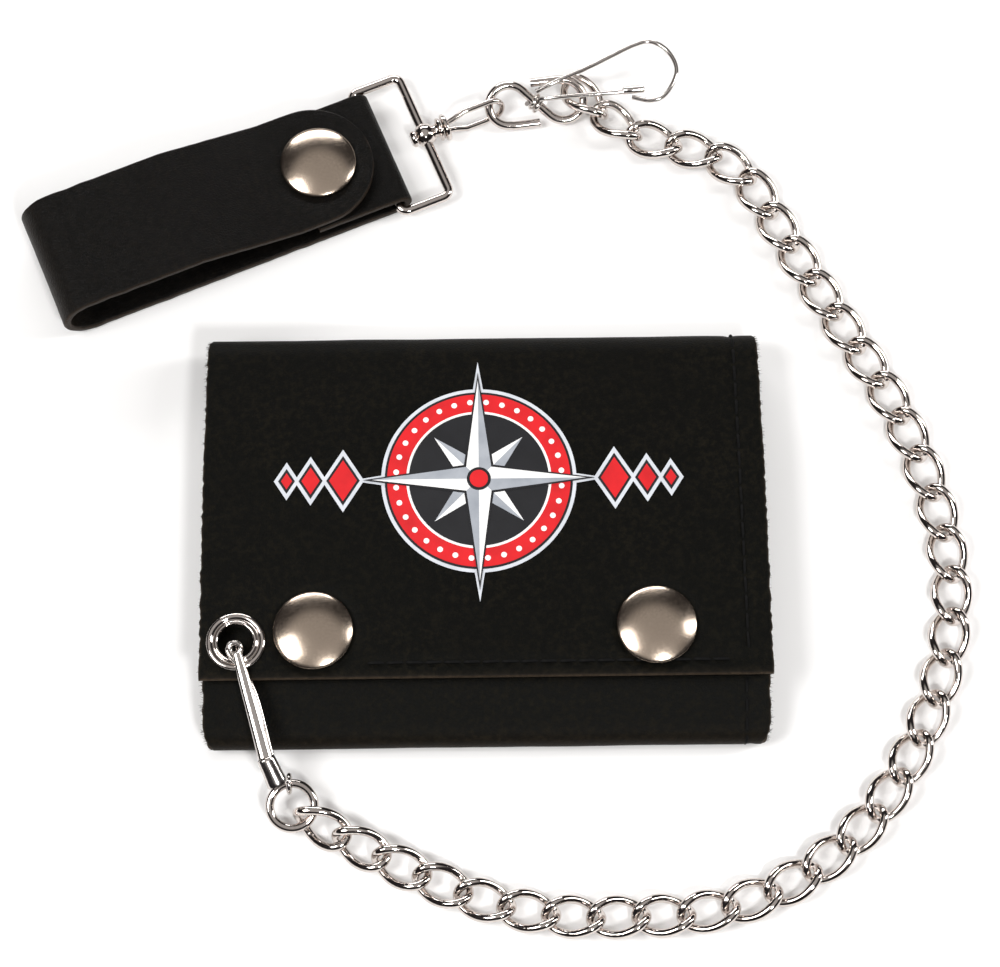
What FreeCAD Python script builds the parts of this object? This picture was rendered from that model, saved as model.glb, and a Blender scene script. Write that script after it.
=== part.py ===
import FreeCAD, Part
import math
import os
from FreeCAD import Vector as V

# Biker wallet with a chain, in millimetres.
# The wallet is one long leather that folds up from the bottom and down from the top over a stack
# of pockets. The flap holds a grommet, a wire clip hangs in it, and a curb chain runs from the clip
# to a snap hook, a swivel and a leather belt loop.
# Origin: centre of the wallet's back face. +X right, +Y towards the top fold, +Z out of the front.

# ---- wallet sizes -------------------------------------------------------------------------
WALLET_W = 108.0            # 4 1/4 in wide
WALLET_H = 81.5             # 3 1/4 in tall when closed
LEATHER = 1.2               # cowhide of the outside
LINING = 0.8                # thin leather and cloth of the inside
HALF_W = WALLET_W / 2
HALF_H = WALLET_H / 2
TOP_BEND_R = 5.6            # outside radius of the top fold
LOW_BEND_R = 3.3            # outside radius of the bottom fold
PANEL_Z = 9.2               # outer face of the inner panel
FLAP_Z = 12.6               # outer face of the flap
FLAP_EDGE_Y = -29.5         # free edge of the flap
PANEL_TIP_Y = 21.3          # hidden free edge of the inner panel
TOP_SLOPE = 4.0             # degrees, the flap falls towards the top fold
LOW_SLOPE = 17.0            # degrees, the inner panel falls towards the bottom fold
BEND_SPLIT = 22.0           # degrees past the crease where the root's half of a fold ends
FLAP_START = 32.0           # degrees past the crease where the flap's half begins
PANEL_START = 42.0          # degrees past the crease where the inner panel's half begins
POCKET_HALF_W = 50.0        # pockets stop this far from the middle

# ---- press studs --------------------------------------------------------------------------
CAP_R = 7.6                 # line 24 cap
CAP_RISE = 2.2
STUD_R = 1.9
SOCKET_R = 4.5
SNAP_PLACES = [(-32.5, -20.2), (32.2, -19.8)]

# ---- grommet ------------------------------------------------------------------------------
GROMMET_AT = V(-47.0, -22.2, 0.0)
GROMMET_HOLE_R = 3.3
GROMMET_BARREL_R = 3.75
GROMMET_FLANGE_R = 5.6
GROMMET_FLANGE_T = 0.6
WASHER_R = 5.3
WASHER_T = 0.4

# ---- wire clip and chain ------------------------------------------------------------------
CLIP_WIRE = 1.2
GATE_WIRE = 0.9
CLIP_HEADING = -68.0        # degrees, the way the clip hangs from the grommet
CLIP_REACH = 27.5           # grommet centre to the ring's wire
CLIP_EYE_R = 1.95
CLIP_END_Z = 5.0
RING_WIRE = 1.7
RING_R = 4.2
RING_TILT = 14.0            # degrees, the ring leans from the clip down to the table
LINK_WIRE = 1.7
LINK_A = 5.25               # half length of a link on the wire's middle
LINK_B = 3.25               # half width
LINK_TWIST = 90.0           # degrees, end to end
LINK_SQUARE = 0.8           # below 1 makes the link's sides fuller than an ellipse
LINK_POINTS = 16
LINK_PITCH = 8.4
FIRST_LINK = V(-31.2, -55.6, 0.0)
FIRST_HEADING = -29.5
# Turn of each link against the one before, as runs of (links, degrees).
TURNS = [(1, 0.0), (3, 2.0), (1, 6.0), (3, 6.5), (1, -1.5), (6, 9.0), (4, 6.0), (2, 9.0), (2, 5.0),
         (3, 4.5), (5, -0.5), (2, 24.0), (1, -2.5), (1, -19.5), (1, -10.0)]
# The links next to the ring and to the hook lean over. The rest lie flat.
FIRST_LEANS = [40.0, 30.0, 20.0, 10.0]
LAST_LEANS = [17.5, 21.0]

# ---- snap hook ----------------------------------------------------------------------------
HOOK_WIRE = 1.8
HOOK_R = 4.1
HOOK_HALF = 5.6             # hook middle to each loop's centre
HOOK_ROLL = 29.0            # degrees, the hook leans on its long axis
SPRING_WIRE = 0.9
SPRING_COIL = 2.6           # length of the coil on the hook's middle
SPRING_COIL_R = 2.3
SPRING_RISE = 2.6           # the loop starts this far above the hook's middle
SPRING_CLIMB = 0.2          # and climbs this much per millimetre
SPRING_PLAN = [(0.2, 0.9), (28.5, 11.4), (27.0, -2.6), (0.6, -0.8)]

# ---- swivel, ring and belt loop -----------------------------------------------------------
STRAP_HEADING = 22.0        # degrees, from the fold towards the ring
STRAP_FOLD = V(-87.2, 56.1, 0.0)
STRAP_W = 25.4              # 1 in belt loop
STRAP_T = 1.6
STRAP_LENGTH = 71.2         # outside of the fold to the ring's near bar
STRAP_BEND_R = 6.2
STRAP_FRONT_END = 70.0      # rounded end of the front layer
STRAP_SNAP = 59.0           # snap's distance from the fold
STRAP_SLOPE_FROM = 30.0     # the front layer starts to fall here
STRAP_SNAP_Z = 8.6          # outer face of the front layer at the snap
STRAP_SPLIT = 15.0
STRAP_START = 28.0
BAR_R = 0.95
BAR_ROOM = 0.4
FRAME_IN = 10.6             # near bar to far bar, middle to middle
FRAME_LONG = 28.4           # length of the ring along its bars, middle to middle
FRAME_CORNER = 1.6
BARREL_R = 2.3
BARREL_LONG = 5.4
SHANK_R = 0.9
SWIVEL_HEAD = 1.0
BARREL_BACK = 1.6           # the barrel starts this far before the far bar
EYE_HALF = 2.1             # half the gap between the middles of the eye's two legs
EYE_WIRE = 1.3
COLLAR_R = 2.9


def direction(degrees):
    return V(math.cos(math.radians(degrees)), math.sin(math.radians(degrees)), 0.0)


def save(name, shape):
    """Write one node and say whether it is sound."""
    shape.exportStep("parts/" + name + ".step")
    print(name, len(shape.Solids), "solids", "valid" if shape.isValid() else "NOT VALID",
          round(shape.Volume, 1), "mm3")


def group(shapes):
    return shapes[0] if len(shapes) == 1 else Part.makeCompound(shapes)


# ---- helpers for sheets -------------------------------------------------------------------
def extrude_yz(points, x0, x1):
    """A solid from an outline of (y, z) points, from x0 to x1."""
    corners = [V(x0, y, z) for y, z in points]
    face = Part.Face(Part.makePolygon(corners + corners[:1]))
    return face.extrude(V(x1 - x0, 0, 0))


def bend(y, z, radius, thick, start, end, x0, x1):
    """Part of a rolled fold about an X line: from start to end degrees, 0 being +Y."""
    def arc(r, a0, a1):
        pts = [V(x0, y + r * math.cos(math.radians(a)), z + r * math.sin(math.radians(a)))
               for a in (a0, (a0 + a1) / 2, a1)]
        return Part.Arc(*pts).toShape(), pts
    outer, op = arc(radius, start, end)
    inner, ip = arc(radius - thick, end, start)
    ends = [Part.makeLine(op[2], ip[0]), Part.makeLine(ip[2], op[0])]
    face = Part.Face(Part.Wire([outer, ends[0], inner, ends[1]]))
    return face.extrude(V(x1 - x0, 0, 0))


def box(x0, x1, y0, y1, z0, z1):
    return Part.makeBox(x1 - x0, y1 - y0, z1 - z0, V(x0, y0, z0))


def sloped_sheet(y_bend, r_bend, slope, z_flat, y_end, side, x0, x1):
    """The stretch that leaves a fold, climbs at a slope and then runs flat to y_end.

    side is +1 where the fold is at the top of the wallet, -1 where it is at the bottom."""
    s = math.radians(slope)
    y0 = y_bend + side * r_bend * math.sin(s)
    z0 = r_bend + r_bend * math.cos(s)
    y_knee = y0 - side * (z_flat - z0) / math.tan(s)
    inset = LEATHER * math.tan(s / 2)
    outline = [(y0, z0), (y_knee, z_flat), (y_end, z_flat), (y_end, z_flat - LEATHER),
               (y_knee - side * inset, z_flat - LEATHER),
               (y0 - side * LEATHER * math.sin(s), z0 - LEATHER * math.cos(s))]
    return extrude_yz(outline, x0, x1)


TOP_Y = HALF_H - TOP_BEND_R
LOW_Y = -HALF_H + LOW_BEND_R


# ---- wallet -------------------------------------------------------------------------------
def back_panel():
    """Outer leather of the back, with the root's half of both folds."""
    sheet = box(-HALF_W, HALF_W, LOW_Y, TOP_Y, 0, LEATHER)
    top = bend(TOP_Y, TOP_BEND_R, TOP_BEND_R, LEATHER, -90, BEND_SPLIT, -HALF_W, HALF_W)
    low = bend(LOW_Y, LOW_BEND_R, LOW_BEND_R, LEATHER, 180 - BEND_SPLIT, 270, -HALF_W, HALF_W)
    return sheet.fuse([top, low]).removeSplitter()


def front_flap():
    """Outer leather of the flap, with the grommet's and the snaps' holes."""
    rolled = bend(TOP_Y, TOP_BEND_R, TOP_BEND_R, LEATHER, FLAP_START, 90 - TOP_SLOPE,
                  -HALF_W, HALF_W)
    sheet = sloped_sheet(TOP_Y, TOP_BEND_R, TOP_SLOPE, FLAP_Z, FLAP_EDGE_Y, 1, -HALF_W, HALF_W)
    flap = rolled.fuse(sheet).removeSplitter()
    holes = [hole(x, y, STUD_R) for x, y in SNAP_PLACES]
    holes.append(hole(GROMMET_AT.x, GROMMET_AT.y, GROMMET_BARREL_R))
    return flap.cut(holes)


def hole(x, y, radius):
    """A tool that cuts a round hole through every layer."""
    return Part.makeCylinder(radius, 2 * FLAP_Z, V(x, y, -1))


def inner_panel():
    """Outer leather of the panel that folds up from the bottom."""
    rolled = bend(LOW_Y, LOW_BEND_R, LOW_BEND_R, LEATHER, 90 + LOW_SLOPE, 180 - PANEL_START,
                  -HALF_W, HALF_W)
    sheet = sloped_sheet(LOW_Y, LOW_BEND_R, LOW_SLOPE, PANEL_Z, PANEL_TIP_Y, -1, -HALF_W, HALF_W)
    panel = rolled.fuse(sheet).removeSplitter()
    return panel.cut([hole(x, y, STUD_R * 0.8) for x, y in SNAP_PLACES])


def bill_lining():
    return box(-POCKET_HALF_W, POCKET_HALF_W, -33, 33, LEATHER, LEATHER + LINING)


def card_pockets():
    """Three card pockets on the back's inside, each one stepped down from the last."""
    pockets = []
    for i in range(3):
        z = LEATHER + LINING * (1 + i)
        pockets.append(box(-POCKET_HALF_W, 0, -32, 26 - 9 * i, z, z + LINING))
    return group(pockets)


def id_window():
    """Clear vinyl window in its leather frame's place, beside the card pockets."""
    z = LEATHER + LINING
    return box(2, POCKET_HALF_W, -32, 26, z, z + 0.5)


def panel_pockets():
    """Two card pockets on the inner panel's inside, cut round the studs' rivets."""
    z = PANEL_Z - LEATHER
    rivets = [hole(x, y, SOCKET_R) for x, y in SNAP_PLACES]
    deep = box(-POCKET_HALF_W, POCKET_HALF_W, -26, 18, z - LINING, z).cut(rivets)
    front = box(-POCKET_HALF_W, POCKET_HALF_W, -26, 4, z - 2 * LINING, z - LINING).cut(rivets)
    return group([deep, front])


def flap_lining():
    """Lining of the flap. It stops short of the grommet, where the clip's back leg lies."""
    z = FLAP_Z - LEATHER
    sheet = box(-38, POCKET_HALF_W, -27, 12, z - 1.0, z)
    return sheet.cut([hole(x, y, SOCKET_R + 0.3) for x, y in SNAP_PLACES])


# ---- press studs --------------------------------------------------------------------------
def snap_cap(x, y, z):
    """Domed cap on the face at height z, with the rivet that goes through the leather."""
    rim = 0.5
    ball_r = (CAP_R ** 2 + (CAP_RISE - rim) ** 2) / (2 * (CAP_RISE - rim))
    ball = Part.makeSphere(ball_r, V(x, y, z + CAP_RISE - ball_r))
    disc = Part.makeCylinder(CAP_R, CAP_RISE, V(x, y, z))
    rivet = Part.makeCylinder(STUD_R - 0.1, LEATHER, V(x, y, z - LEATHER))
    return ball.common(disc).fuse(rivet)


def snap_socket(x, y, z):
    """Spring socket under the leather, its top face at height z."""
    ring = Part.makeCylinder(SOCKET_R, 1.7, V(x, y, z - 1.7))
    room = Part.makeCylinder(STUD_R + 0.6, 1.7, V(x, y, z - 2.2))
    return ring.cut(room)


def snap_stud(x, y, z, thick):
    """Stud on the face at height z, riveted through leather of the given thickness."""
    foot = Part.makeCylinder(SOCKET_R - 0.5, 0.3, V(x, y, z))
    post = Part.makeCylinder(STUD_R, 1.4, V(x, y, z))
    pin = Part.makeCylinder(STUD_R * 0.8 - 0.1, thick, V(x, y, z - thick))
    head = Part.makeCylinder(SOCKET_R - 0.6, 0.4, V(x, y, z - thick - 0.4))
    return foot.fuse([post, pin, head]).removeSplitter()


# ---- grommet ------------------------------------------------------------------------------
def ring_shape(radius, hole_r, thick, z):
    outer = Part.makeCylinder(radius, thick, V(GROMMET_AT.x, GROMMET_AT.y, z))
    return outer.cut(Part.makeCylinder(hole_r, thick, V(GROMMET_AT.x, GROMMET_AT.y, z)))


def grommet():
    """Rolled flange on the flap's face and the barrel that goes through the leather."""
    flange = ring_shape(GROMMET_FLANGE_R, GROMMET_HOLE_R, GROMMET_FLANGE_T, FLAP_Z)
    rims = [e for e in flange.Edges if e.BoundBox.ZMin > FLAP_Z + GROMMET_FLANGE_T / 2
            and len(e.Vertexes) == 1]
    flange = flange.makeFillet(GROMMET_FLANGE_T * 0.7, rims[:1])
    barrel = ring_shape(GROMMET_BARREL_R - 0.02, GROMMET_HOLE_R, LEATHER + WASHER_T,
                        FLAP_Z - LEATHER - WASHER_T)
    return flange.fuse(barrel).removeSplitter()


def grommet_washer():
    return ring_shape(WASHER_R, GROMMET_BARREL_R, WASHER_T, FLAP_Z - LEATHER - WASHER_T)


# ---- wire work ----------------------------------------------------------------------------
def rounded_path(points, radius):
    """Straight runs through the points, joined by arcs of one radius that touch both runs."""
    edges = []
    last = points[0]
    for i in range(1, len(points) - 1):
        into = (points[i] - points[i - 1]).normalize()
        out = (points[i + 1] - points[i]).normalize()
        half = into.getAngle(out) / 2
        cut = radius * math.tan(half)
        start = points[i] - into * cut
        end = points[i] + out * cut
        inward = (out - into).normalize()
        middle = points[i] + inward * (radius / math.cos(half) - radius)
        edges.append(Part.makeLine(last, start))
        edges.append(Part.Arc(start, middle, end).toShape())
        last = end
    edges.append(Part.makeLine(last, points[-1]))
    return edges


def wire_along(edges, wire):
    """Round wire of the given diameter along joined edges that start at the first edge."""
    spine = Part.Wire(edges)
    first = edges[0]
    start = first.valueAt(first.FirstParameter)
    tangent = first.tangentAt(first.FirstParameter)
    section = Part.Wire([Part.Circle(start, tangent, wire / 2).toShape()])
    return spine.makePipeShell([section], True, False)


def torus(centre, axis, radius, wire):
    return Part.makeTorus(radius, wire / 2, centre, axis)


def clip_point(reach, z):
    at = GROMMET_AT + direction(CLIP_HEADING) * reach
    return V(at.x, at.y, z)


def wallet_clip():
    """Hairpin of spring wire through the grommet, with a crimped sleeve and an eye."""
    turn_r = 1.0
    inside = GROMMET_HOLE_R - CLIP_WIRE / 2 - 0.3
    high = FLAP_Z + GROMMET_FLANGE_T + 0.4 + CLIP_WIRE / 2
    low = FLAP_Z - LEATHER - WASHER_T - 0.35 - CLIP_WIRE / 2
    joint = CLIP_REACH - 3.8
    points = [clip_point(joint, 7.9), clip_point(8.6, high), clip_point(inside, high),
              clip_point(inside, low), clip_point(8.3, low), clip_point(joint, 6.6)]
    hairpin = wire_along(rounded_path(points, turn_r), CLIP_WIRE)
    lever_from, lever_to = clip_point(9.4, high - 0.3), clip_point(joint - 0.6, 7.6)
    lever = Part.makeCone(0.75, 1.3, (lever_to - lever_from).Length, lever_from,
                          lever_to - lever_from)
    start = clip_point(joint - 0.1, 7.3)
    end = clip_point(CLIP_REACH - CLIP_EYE_R - 0.2, CLIP_END_Z + 0.9)
    sleeve = Part.makeCylinder(1.4, (end - start).Length, start, end - start)
    sideways = direction(CLIP_HEADING + 90)
    eye = torus(clip_point(CLIP_REACH, CLIP_END_Z), sideways, CLIP_EYE_R, CLIP_WIRE)
    left = [clip_point(inside + 0.9, high), clip_point(8.8, high) - sideways * 0.9,
            clip_point(joint, 7.4) - sideways * 1.0]
    gate = wire_along(rounded_path(left, turn_r), GATE_WIRE)
    return hairpin.fuse([lever, sleeve, eye, gate])


def ring_centre():
    near = clip_point(CLIP_REACH, CLIP_END_Z)
    tilt = math.radians(RING_TILT)
    return near - V(0, RING_R * math.cos(tilt), RING_R * math.sin(tilt))


def jump_ring():
    """Closed ring that leans against the clip's eye."""
    tilt = math.radians(RING_TILT)
    return torus(ring_centre(), V(0, -math.sin(tilt), math.cos(tilt)), RING_R, RING_WIRE)


# ---- curb chain ---------------------------------------------------------------------------
def link_point(t):
    """Middle of the wire at angle t: an oval whose two ends are turned against each other."""
    x = LINK_A * math.cos(t)
    side = LINK_B * math.copysign(abs(math.sin(t)) ** LINK_SQUARE, math.sin(t))
    twist = -math.radians(LINK_TWIST / 2) * x / LINK_A
    return V(x, side * math.cos(twist), side * math.sin(twist))


def curb_link():
    """One link, swept as two halves about its middle."""
    step = 2 * math.pi / LINK_POINTS
    curve = Part.BSplineCurve()
    curve.interpolate([link_point(step * (i + 0.5)) for i in range(LINK_POINTS)], True)
    first, last = curve.FirstParameter, curve.LastParameter
    middle = (first + last) / 2
    halves = [wire_along([curve.toShape(u, v)], LINK_WIRE)
              for u, v in ((first, middle), (middle, last))]
    return halves[0].fuse(halves[1]).Solids[0]


def link_rise(lean):
    """Height of a leaning link's middle when it rests on the table."""
    c, s = math.cos(math.radians(lean)), math.sin(math.radians(lean))
    points = [link_point(math.radians(a)) for a in range(360)]
    return max(p.y * s + p.z * c for p in points) + LINK_WIRE / 2


def chain_places():
    """Middle, heading and lean of every link, worked out from one junction to the next."""
    headings = []
    heading = FIRST_HEADING
    for count, turn in TURNS:
        for _ in range(count):
            heading += turn
            headings.append(heading)
    places = []
    joint = FIRST_LINK - direction(FIRST_HEADING) * (LINK_PITCH / 2)
    flat = len(headings) - len(FIRST_LEANS) - len(LAST_LEANS)
    leans = FIRST_LEANS + [0.0] * flat + LAST_LEANS
    for heading, lean in zip(headings, leans):
        middle = joint + direction(heading) * (LINK_PITCH / 2) + V(0, 0, link_rise(lean))
        places.append((middle, heading, lean))
        joint = joint + direction(heading) * LINK_PITCH
    return places


# ---- snap hook ----------------------------------------------------------------------------
# The hook lies in its own plane: its middle is HOOK_MID and its long way runs at HOOK_HEADING.
LAST_LINK = chain_places()[-1][0]
HOOK_MID = V(LAST_LINK.x - 10.15, LAST_LINK.y - 0.9, 3.24)
HOOK_HEADING = 5.7


def on_hook(along, across):
    """A point in the hook's plane, which leans by HOOK_ROLL about the hook's long way."""
    lean = math.radians(HOOK_ROLL)
    return (HOOK_MID + direction(HOOK_HEADING) * along
            + direction(HOOK_HEADING + 90) * (across * math.cos(lean))
            + V(0, 0, across * math.sin(lean)))


def on_loop(side, angle):
    a = math.radians(angle)
    return on_hook(side * (HOOK_HALF + HOOK_R * math.cos(a)), side * HOOK_R * math.sin(a))


def hook_body():
    """The hook's wire as two arcs and a straight middle, all in one plane."""
    touch = math.degrees(math.acos(HOOK_R / HOOK_HALF))
    start = 128.0
    end = 180.0 + touch
    arcs = []
    for side in (1, -1):
        arcs.append([on_loop(side, a) for a in (start, (start - 360 + end) / 2, end - 360)])
    first = Part.Arc(*arcs[0]).toShape()
    middle = Part.makeLine(arcs[0][2], arcs[1][2])
    last = Part.Arc(arcs[1][2], arcs[1][1], arcs[1][0]).toShape()
    return wire_along([first, middle, last], HOOK_WIRE)


def hook_spring():
    """Safety spring: a short coil on the hook's middle and a long loop of thin wire above it."""
    touch = math.degrees(math.acos(HOOK_R / HOOK_HALF))
    slant = (on_loop(1, 180 + touch) - on_loop(-1, 180 + touch)).normalize()
    base = on_hook(0, 0) - slant * (SPRING_COIL / 2)
    coil = Part.makeCylinder(SPRING_COIL_R, SPRING_COIL, base, slant)
    coil = coil.cut(Part.makeCylinder(HOOK_WIRE / 2 + 0.12, SPRING_COIL, base, slant))
    points = []
    for along, across in SPRING_PLAN:
        flat = direction(HOOK_HEADING) * along + direction(HOOK_HEADING + 90) * across
        points.append(HOOK_MID + flat + V(0, 0, SPRING_RISE + SPRING_CLIMB * along))
    loop = wire_along(rounded_path(points, 4.6), SPRING_WIRE)
    leg = points[2] - points[3]
    grip = Part.makeCylinder(0.8, leg.Length * 0.18, points[3] + leg * 0.52, leg)
    return coil.fuse([loop, grip])


# ---- belt loop ----------------------------------------------------------------------------
def on_strap(along, across, z):
    at = STRAP_FOLD + direction(STRAP_HEADING) * along + direction(STRAP_HEADING + 90) * across
    return V(at.x, at.y, z)


BAR_AT = STRAP_LENGTH
BAR_Z = STRAP_T + BAR_ROOM + BAR_R
FAR_BAR = BAR_AT + FRAME_IN


def place_on_strap(shape):
    """Turn and move a shape modelled along +X, with its fold at the origin, to the strap."""
    turned = shape.copy()
    turned.rotate(V(0, 0, 0), V(0, 0, 1), STRAP_HEADING)
    turned.translate(STRAP_FOLD)
    return turned


def strap_sheet(outline, width):
    """Extrude an outline of (along, z) points across the strap."""
    corners = [V(x, -width / 2, z) for x, z in outline]
    face = Part.Face(Part.makePolygon(corners + corners[:1]))
    return face.extrude(V(0, width, 0))


def strap_bend(x, z, radius, start, end, width):
    """Part of a rolled fold across the strap, 0 degrees being along +X."""
    def arc(r, a0, a1):
        pts = [V(x + r * math.cos(math.radians(a)), -width / 2, z + r * math.sin(math.radians(a)))
               for a in (a0, (a0 + a1) / 2, a1)]
        return Part.Arc(*pts).toShape(), pts
    outer, op = arc(radius, start, end)
    inner, ip = arc(radius - STRAP_T, end, start)
    ends = [Part.makeLine(op[2], ip[0]), Part.makeLine(ip[2], op[0])]
    return Part.Face(Part.Wire([outer, ends[0], inner, ends[1]])).extrude(V(0, width, 0))


def strap_back():
    """Back layer: root's half of the fold, flat run, wrap round the ring's bar and short tail."""
    wrap_r = BAR_R + BAR_ROOM + STRAP_T
    fold = strap_bend(STRAP_BEND_R, STRAP_BEND_R, STRAP_BEND_R, 180 - STRAP_SPLIT, 270, STRAP_W)
    flat = strap_sheet([(STRAP_BEND_R, 0), (BAR_AT, 0), (BAR_AT, STRAP_T), (STRAP_BEND_R, STRAP_T)],
                       STRAP_W)
    wrap = strap_bend(BAR_AT, BAR_Z, wrap_r, -90, 90, STRAP_W)
    top = BAR_Z + wrap_r
    tail = strap_sheet([(50.0, top - STRAP_T), (BAR_AT, top - STRAP_T), (BAR_AT, top), (50.0, top)],
                       STRAP_W)
    solid = fold.fuse([flat, wrap, tail]).removeSplitter()
    return place_on_strap(solid.cut(strap_hole(STRAP_SNAP, STUD_R * 0.8)))


def strap_hole(along, radius):
    return Part.makeCylinder(radius, 30, V(along, 0, STRAP_T + 0.5))


def strap_front():
    """Front layer: rolled fold, flat run and a fall to the snap, with a rounded end."""
    top = 2 * STRAP_BEND_R
    fold = strap_bend(STRAP_BEND_R, STRAP_BEND_R, STRAP_BEND_R, 90, 180 - STRAP_START, STRAP_W)
    settle = STRAP_SNAP - CAP_R - 1.0
    outline = [(STRAP_BEND_R, top), (STRAP_SLOPE_FROM, top), (settle, STRAP_SNAP_Z),
               (STRAP_FRONT_END, STRAP_SNAP_Z), (STRAP_FRONT_END, STRAP_SNAP_Z - STRAP_T),
               (settle - 0.1, STRAP_SNAP_Z - STRAP_T), (STRAP_SLOPE_FROM - 0.1, top - STRAP_T),
               (STRAP_BEND_R, top - STRAP_T)]
    solid = fold.fuse(strap_sheet(outline, STRAP_W)).removeSplitter()
    end_r = STRAP_W / 2
    plan = box(-1, STRAP_FRONT_END - end_r, -end_r, end_r, 0, 2 * top)
    plan = plan.fuse(Part.makeCylinder(end_r, 2 * top, V(STRAP_FRONT_END - end_r, 0, 0)))
    return place_on_strap(solid.common(plan).cut(strap_hole(STRAP_SNAP, STUD_R)))


def belt_snap_cap():
    """Cap and socket of the belt loop's snap, riveted together through the front layer."""
    at = on_strap(STRAP_SNAP, 0, 0)
    z = STRAP_SNAP_Z
    cap = snap_cap(at.x, at.y, z)
    socket = Part.makeCylinder(SOCKET_R, 0.9, V(at.x, at.y, z - STRAP_T - 0.9))
    socket = socket.cut(Part.makeCylinder(STUD_R + 0.6, 0.9, V(at.x, at.y, z - STRAP_T - 0.9)))
    rivet = Part.makeCylinder(STUD_R - 0.1, STRAP_T, V(at.x, at.y, z - STRAP_T))
    return group([cap.fuse(rivet).removeSplitter(), socket])


def belt_snap_stud():
    at = on_strap(STRAP_SNAP, 0, 0)
    tail_top = BAR_Z + BAR_R + BAR_ROOM + STRAP_T
    post = Part.makeCylinder(STUD_R, 0.6, V(at.x, at.y, tail_top))
    pin = Part.makeCylinder(STUD_R * 0.8 - 0.1, STRAP_T, V(at.x, at.y, tail_top - STRAP_T))
    head = Part.makeCylinder(SOCKET_R - 0.6, 0.4, V(at.x, at.y, tail_top - STRAP_T - 0.4))
    return post.fuse([pin, head]).removeSplitter()


def strap_ring():
    """Rounded rectangle of wire that joins the belt loop to the swivel."""
    near, far, half = BAR_AT, FAR_BAR, FRAME_LONG / 2
    r = FRAME_CORNER
    k = r * (1 - math.sqrt(0.5))
    corners = [((near, half - r), (near + k, half - k), (near + r, half)),
               ((far - r, half), (far - k, half - k), (far, half - r)),
               ((far, r - half), (far - k, k - half), (far - r, -half)),
               ((near + r, -half), (near + k, k - half), (near, r - half))]
    places = [[on_strap(x, y, BAR_Z) for x, y in corner] for corner in corners]
    solids = []
    for i, (a, m, b) in enumerate(places):
        nxt = places[(i + 1) % 4][0]
        solids.append(wire_along([Part.Arc(a, m, b).toShape(), Part.makeLine(b, nxt)], 2 * BAR_R))
    ring = solids[0].fuse(solids[1:])
    return ring.cut(shank_bore())


def shank_bore():
    """The hole that the swivel's shank turns in, through the far bar and the barrel."""
    start = on_strap(FAR_BAR - 2 * BARREL_LONG, 0, BAR_Z)
    return Part.makeCylinder(SHANK_R + 0.12, 4 * BARREL_LONG, start, direction(STRAP_HEADING))


def swivel_barrel():
    """Cast barrel on the ring's far bar, bored for the swivel's shank."""
    start = on_strap(FAR_BAR - BARREL_BACK, 0, BAR_Z)
    way = direction(STRAP_HEADING)
    barrel = Part.makeCylinder(BARREL_R, BARREL_LONG, start, way)
    across = Part.makeCylinder(BAR_R, 4 * BARREL_R, on_strap(FAR_BAR, -2 * BARREL_R, BAR_Z),
                               direction(STRAP_HEADING + 90))
    return barrel.cut([shank_bore(), across])


def eye_turn():
    """Middle of the eye's round end, measured from the strap's fold: the hook's wire lies there."""
    hook_end = on_hook(-HOOK_HALF - HOOK_R, 0)
    return (hook_end - STRAP_FOLD).dot(direction(STRAP_HEADING)) - 0.1


def swivel_eye():
    """Headed shank that turns in the barrel, with a collar and a long eye for the hook."""
    way = direction(STRAP_HEADING)
    head_at = FAR_BAR - BARREL_BACK - 0.25 - SWIVEL_HEAD
    collar_at = FAR_BAR - BARREL_BACK + BARREL_LONG + 0.25
    head = Part.makeCylinder(1.7, SWIVEL_HEAD, on_strap(head_at, 0, BAR_Z), way)
    shank = Part.makeCylinder(SHANK_R, collar_at - head_at, on_strap(head_at, 0, BAR_Z), way)
    collar = Part.makeCylinder(COLLAR_R, 1.3, on_strap(collar_at, 0, BAR_Z), way)
    turn = eye_turn()
    legs = [on_strap(collar_at + 0.6, 0, BAR_Z + EYE_HALF), on_strap(turn, 0, BAR_Z + EYE_HALF),
            on_strap(turn + EYE_HALF, 0, BAR_Z), on_strap(turn, 0, BAR_Z - EYE_HALF),
            on_strap(collar_at + 0.6, 0, BAR_Z - EYE_HALF)]
    path = [Part.makeLine(legs[0], legs[1]), Part.Arc(legs[1], legs[2], legs[3]).toShape(),
            Part.makeLine(legs[3], legs[4])]
    return head.fuse([shank, collar, wire_along(path, EYE_WIRE)])


def main():
    os.makedirs("parts", exist_ok=True)
    face, under = FLAP_Z, FLAP_Z - LEATHER
    save("back_panel", back_panel())
    save("bill_lining", bill_lining())
    save("card_pockets", card_pockets())
    save("id_window", id_window())
    save("front_flap", front_flap())
    save("flap_lining", flap_lining())
    save("inner_panel", inner_panel())
    save("panel_pockets", panel_pockets())
    save("flap_snap_caps", group([snap_cap(x, y, face) for x, y in SNAP_PLACES]))
    save("flap_snap_sockets", group([snap_socket(x, y, under) for x, y in SNAP_PLACES]))
    save("panel_snap_studs", group([snap_stud(x, y, PANEL_Z, LEATHER) for x, y in SNAP_PLACES]))
    save("grommet", grommet())
    save("grommet_washer", grommet_washer())
    save("wallet_clip", wallet_clip())
    save("jump_ring", jump_ring())
    link = curb_link()
    for i, (middle, heading, lean) in enumerate(chain_places()):
        placed = link.copy()
        placed.rotate(V(0, 0, 0), V(1, 0, 0), lean)
        placed.rotate(V(0, 0, 0), V(0, 0, 1), heading)
        placed.translate(middle)
        save("chain_link_%02d" % (i + 1), placed)
    save("hook_body", hook_body())
    save("hook_spring", hook_spring())
    save("swivel_eye", swivel_eye())
    save("swivel_barrel", swivel_barrel())
    save("strap_ring", strap_ring())
    save("strap_back", strap_back())
    save("strap_front", strap_front())
    save("belt_snap_cap", belt_snap_cap())
    save("belt_snap_stud", belt_snap_stud())


main()
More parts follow.
